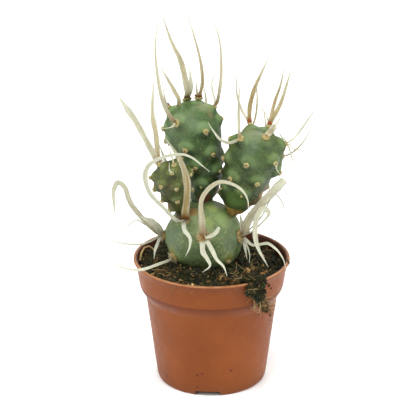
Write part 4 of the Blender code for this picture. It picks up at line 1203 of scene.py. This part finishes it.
def pot_section():
    """The pot's section as (radius, height): up its inside, over the lip, down and under its floor."""
    inner_corner = body_radius(FLOOR_TOP) - WALL
    outer_corner = body_radius(FOOT_CORNER)
    return [
        # Up the inside
        (0.0, FLOOR_TOP), (inner_corner - 1.0, FLOOR_TOP), (inner_corner, FLOOR_TOP + 1.2),
        (body_radius(SHOULDER_LOW) - WALL, SHOULDER_LOW),
        (BAND_RADIUS - 2.2 - WALL * 1.3, SHOULDER_HIGH - 4.6), (BAND_RADIUS - WALL, SHOULDER_HIGH - 0.6),
        # Over the lip
        (LIP_RADIUS - 1.8 - WALL, POT_HEIGHT - 3.2), (LIP_RADIUS - 1.9, POT_HEIGHT),
        (LIP_RADIUS - 0.4, POT_HEIGHT), (LIP_RADIUS, POT_HEIGHT - 0.4), (LIP_RADIUS, POT_HEIGHT - 1.2),
        (LIP_RADIUS - 0.9, POT_HEIGHT - 2.6),
        # Down the band, the shoulder and the wall
        (BAND_TOP_RADIUS, BAND_TOP), (BAND_RADIUS, SHOULDER_HIGH), (BAND_RADIUS - 0.4, SHOULDER_HIGH - 2.0),
        (BAND_RADIUS - 2.2, SHOULDER_HIGH - 5.0), (BAND_RADIUS - 3.4, SHOULDER_HIGH - 7.0),
        (body_radius(SHOULDER_LOW), SHOULDER_LOW), (outer_corner, FOOT_CORNER),
        # Round the foot and under the floor
        (outer_corner - 0.5, 0.8), (outer_corner - 1.2, 0.0), (FOOT_RING_INNER, 0.0),
        (FOOT_RING_INNER, FLOOR_UNDER), (0.0, FLOOR_UNDER),
    ]


def rounded(profile):
    """A profile with each corner eased by a short curve."""
    points = [Vector(point) for point in profile]
    eased = [points[0]]
    for before, corner, after in zip(points, points[1:], points[2:]):
        start, end = [
            corner + (other - corner).normalized() * min(CORNER_EASE, 0.4 * (other - corner).length)
            for other in (before, after)
        ]
        for step in range(CORNER_STEPS + 1):
            t = step / CORNER_STEPS
            eased.append((1 - t) ** 2 * start + 2 * t * (1 - t) * corner + t * t * end)
    return [*eased, points[-1]]


def notch_mesh(bearing):
    """A wedge through the foot ring, wider at the ground than above."""
    flare = (NOTCH_FOOT_WIDTH - NOTCH_TOP_WIDTH) / NOTCH_HEIGHT
    under_width = NOTCH_FOOT_WIDTH + flare * NOTCH_UNDER
    bm = bmesh.new()
    bmesh.ops.create_cube(bm, size=1.0)
    for vert in bm.verts:
        width, height = (NOTCH_TOP_WIDTH, NOTCH_HEIGHT) if vert.co.z > 0 else (under_width, -NOTCH_UNDER)
        vert.co = Vector((FOOT_RADIUS + vert.co.x * NOTCH_LENGTH, vert.co.y * width, height))
    bmesh.ops.transform(bm, matrix=Matrix.Rotation(math.radians(bearing), 4, "Z"), verts=bm.verts)
    return mesh_from(bm, "foot notch")


def drain_mesh(index):
    """A plug through the floor for one drain hole of the ring."""
    angle = math.tau * (index + 0.5) / DRAIN_COUNT
    centre = (DRAIN_CIRCLE * math.cos(angle), DRAIN_CIRCLE * math.sin(angle), (FLOOR_UNDER + FLOOR_TOP) / 2)
    bm = bmesh.new()
    bmesh.ops.create_cone(
        bm, cap_ends=True, segments=DRAIN_SIDES,
        radius1=DRAIN_RADIUS, radius2=DRAIN_RADIUS, depth=DRAIN_CUT,
    )
    bmesh.ops.translate(bm, vec=centre, verts=bm.verts)
    return mesh_from(bm, "drain hole")


def make_pot():
    """The pot with round, fine walls. Its foot notches and drain holes are cut as in the model."""
    mesh = bpy.data.meshes.new("pot_shell")
    corners = [(radius * MM, 0.0, height * MM) for radius, height in rounded(pot_section())]
    mesh.from_pydata(corners, [(i, i + 1) for i in range(len(corners) - 1)], [])
    pot = add_object("pot_shell", mesh)
    screw = pot.modifiers.new("turn", "SCREW")
    screw.steps = screw.render_steps = POT_SIDES
    screw.use_merge_vertices = True
    screw.merge_threshold = POT_MERGE * MM
    cutters = bpy.data.collections.new("cutters")
    bpy.context.scene.collection.children.link(cutters)
    for bearing in NOTCH_BEARINGS:
        add_object("foot_notch", notch_mesh(bearing), cutters)
    for index in range(DRAIN_COUNT):
        add_object("drain_hole", drain_mesh(index), cutters)
    cuts = pot.modifiers.new("cuts", "BOOLEAN")
    cuts.operation = "DIFFERENCE"
    cuts.solver = "EXACT"
    cuts.operand_type = "COLLECTION"
    cuts.collection = cutters
    apply_modifiers(pot)
    for cutter in list(cutters.objects):
        bpy.data.objects.remove(cutter)
    bpy.data.collections.remove(cutters)
    places = np.array([v.co for v in pot.data.vertices]) / MM
    wall = np.interp(places[:, 2], *WALL_MIDDLE)
    inside = (np.hypot(places[:, 0], places[:, 1]) < wall) & (places[:, 2] > FLOOR_UNDER)
    add_attribute(pot.data, "wall", inside[:, None])
    pot.data.materials.append(pot_material())
    pot.data.shade_smooth()
    pot.data.set_sharp_from_angle(angle=math.radians(POT_SHARP_ANGLE))
    dress(pot, "pot_plastic", "pot")


def make_peat():
    """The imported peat, remeshed fine and roughened where it shows."""
    peat = add_object("peat_body", frame["nodes"]["soil"].data.copy())
    remesh = peat.modifiers.new("fine", "REMESH")
    remesh.mode = "VOXEL"
    remesh.voxel_size = PEAT_VOXEL * MM
    apply_modifiers(peat)
    for vert in peat.data.vertices:
        place = vert.co / MM
        if place.z >= HIDDEN_PEAT_TOP or math.hypot(place.x, place.y) >= HIDDEN_PEAT_RADIUS:
            lump = sum(size * noise.noise(place * pitch) for size, pitch in PEAT_LUMPS)
            vert.co += vert.normal * lump * MM
    peat.data.materials.clear()
    peat.data.materials.append(peat_material())
    peat.data.shade_smooth()
    dress(peat, "peat", "soil")
    return peat


def shown_peat(peat):
    """The peat's visible points, as (place, normal) in millimetres."""
    found = []
    for vert in peat.data.vertices:
        place = vert.co / MM
        out = math.hypot(place.x, place.y)
        on_top = place.z > TOP_ABOVE and vert.normal.z > 0.2 and out < TOP_WITHIN
        over_lip = out > LIP_BEYOND and place.z < LIP_BELOW
        if on_top or over_lip:
            found.append((place, vert.normal.copy()))
    return found


def make_crumbs(shown, draw):
    """Loose crumbs of peat, bark and root on the surface, the lip and the wall."""
    ball, faces = ball_mesh(1)
    crumbs = Gathered()

    def add_crumb(centre, near, size, stretch, ragged, axis, tint):
        rough = 1 + ragged * noises(ball, 1.7, near)
        local = (ball * rough[:, None] * stretch * size) @ basis(axis.normalized()).T
        crumbs.add(np.array(centre) + local, faces, [(tint, 0, 0)] * len(ball))

    for _ in range(CRUMBS):
        place, normal = draw.choice(shown)
        # crumbs under the stem are darker: painted shade
        tint = draw.random() ** (3.4 if PAINTED_SHADE_FROM < place.x < PAINTED_SHADE_TO else 2.4)
        size = (0.3 + 1.2 * draw.random() ** 2.5) * (1 - 0.5 * tint)
        stretch = [draw.uniform(*span) for span in CRUMB_STRETCH]
        axis = scattered(draw, 1, 1, 1, 1e-3)
        add_crumb(place + normal * size * 0.25, place, size, stretch, 0.8, axis, tint)
    for place, size, tint in SET_CRUMBS:
        add_crumb(place, place, size, CHIP_STRETCH, 0.7, scattered(draw, 1, 1, 1), tint)
    stops = (
        (0.0, (17, 17, 7)), (0.2, (36, 45, 18)), (0.4, (62, 50, 26)),
        (0.6, (74, 56, 30)), (0.8, (116, 84, 44)), (1.0, (184, 150, 98)),
    )
    material = tinted_material("crumbs", "tint", stops, 0.9, 1800, 0.0003)
    dress(crumbs.build("peat_crumbs", material, "tint"), "peat")


def surface_fibre(tree, shown, draw):
    """A fibre that wanders over the peat."""
    place, _ = draw.choice(shown)
    heading = Vector((draw.gauss(0, 1), draw.gauss(0, 1), 0)).normalized()
    length = draw.uniform(*FIBRE_LENGTH)
    arch = draw.uniform(*FIBRE_ARCH)
    route = []
    for leg in range(FIBRE_LEGS + 1):
        ground, normal = shown[tree.find(place)[1]]
        route.append(ground + normal * (0.15 + arch * math.sin(math.pi * leg / FIBRE_LEGS)))
        wander = Vector((draw.gauss(0, FIBRE_WANDER), draw.gauss(0, FIBRE_WANDER), 0))
        heading = (heading + wander).normalized()
        place = ground + heading * length / FIBRE_LEGS
    return route


def fibre_tube(route, radius):
    """A thin fibre along a route, narrowing to its end, as points and faces."""
    points = []
    last = len(route) - 1
    for i, (place, (across, face)) in enumerate(zip(route, blade_frames(route, FIBRE_FACING))):
        size = radius * (1 - 0.6 * (i / last) ** 2)
        for k in range(FIBRE_SIDES):
            angle = math.tau * k / FIBRE_SIDES
            points.append(place + (across * math.cos(angle) + face * math.sin(angle)) * size)
    return points, tube_faces(last, FIBRE_SIDES)


def make_fibres(shown, draw):
    """Straw-coloured root fibres over the peat, from the clump, and down the wall."""
    tree = kdtree.KDTree(len(shown))
    for index, (place, _) in enumerate(shown):
        tree.insert(place, index)
    tree.balance()
    routes = [(surface_fibre(tree, shown, draw), draw.uniform(*FIBRE_RADIUS)) for _ in range(FIBRES)]
    for start, reach, count in CLUMP_FIBRES:
        for _ in range(count):
            foot = Vector(start) + scattered(draw, 1.6, 0.8, 1.4)
            way = Vector(reach) + scattered(draw, 3.0, 1.0, 1.6)
            bend = Vector((draw.gauss(0, 1.5), -abs(draw.gauss(0, 0.8)), draw.gauss(0, 1.5)))
            route = [foot + way * t + bend * math.sin(math.pi * t) for t in (0, 0.2, 0.4, 0.6, 0.8, 1)]
            routes.append((route, draw.uniform(*BUNCHED_RADIUS)))
    routes += [([Vector(p) for p in route], radius) for route, radius in ROOT_STRANDS]
    fibres = Gathered()
    for route, radius in routes:
        points, faces = fibre_tube(route, radius)
        fibres.add(points, faces, [(draw.random(), 0, 0)] * len(points))
    stops = ((0.0, (50, 38, 18)), (0.35, (88, 68, 36)), (0.7, (140, 114, 68)), (1.0, (196, 172, 124)))
    material = tinted_material("root fibre", "tint", stops, 0.75, 1500, 0.0001)
    dress(fibres.build("root_fibres", material, "tint"), "plant_fibre")


def make_floor():
    """A plain pale floor, which is stage and no part of the object."""
    bpy.ops.mesh.primitive_plane_add(size=FLOOR_SIZE, location=(0, 0, 0))
    floor = bpy.context.object
    floor.name = "floor"
    shader = Shader("pale floor")
    clouds = shader.noise(shader.place(), 3.0, 3)
    colour = shader.ramp(clouds, (0.3, (246, 246, 245)), (0.7, (252, 252, 251)))
    floor.data.materials.append(shader.finish(colour, 0.85, 0.5))


def make_studio():
    """Soft light from above and all sides, and a camera a little above the plant."""
    scene = bpy.context.scene
    scene.world = bpy.data.worlds.new("studio")
    scene.world.use_nodes = True
    back = scene.world.node_tree.nodes["Background"]
    back.inputs["Color"].default_value = (1.0, 1.0, 1.0, 1.0)
    back.inputs["Strength"].default_value = DAYLIGHT
    scene.view_settings.view_transform = "Standard"
    for name, (place, target, size, power) in LIGHTS.items():
        light = bpy.data.lights.new(name, "AREA")
        light.shape = "DISK"
        light.size = size
        light.energy = power
        lamp = add_object(name, light)
        lamp.location = place
        lamp.rotation_euler = (Vector(target) - Vector(place)).to_track_quat("-Z", "Y").to_euler()
    camera = bpy.data.cameras.new("camera")
    camera.lens = CAMERA_LENS
    camera.clip_end = CAMERA_REACH
    scene.camera = add_object("camera", camera)
    scene.camera.location = CAMERA_PLACE
    scene.camera.rotation_euler = (math.radians(CAMERA_TILT), 0, 0)


def main():
    make_studio()
    make_floor()
    make_pot()
    shown = shown_peat(make_peat())
    draw = random.Random(SEED + 7)
    make_crumbs(shown, draw)
    make_fibres(shown, draw)
    shapes = {name: JointShape(joint) for name, (joint, _, _) in JOINTS.items()}
    blades = {name: [placed_blade(shapes[name], spine) for spine in JOINTS[name][1]] for name in JOINTS}
    for name in JOINTS:
        blades[name] += far_blades(name, shapes, blades)
    paper = paper_material()
    for name, shape in shapes.items():
        make_stem(name, shape)
        make_spines(name, blades[name], paper)
    make_areoles(shapes)


main()
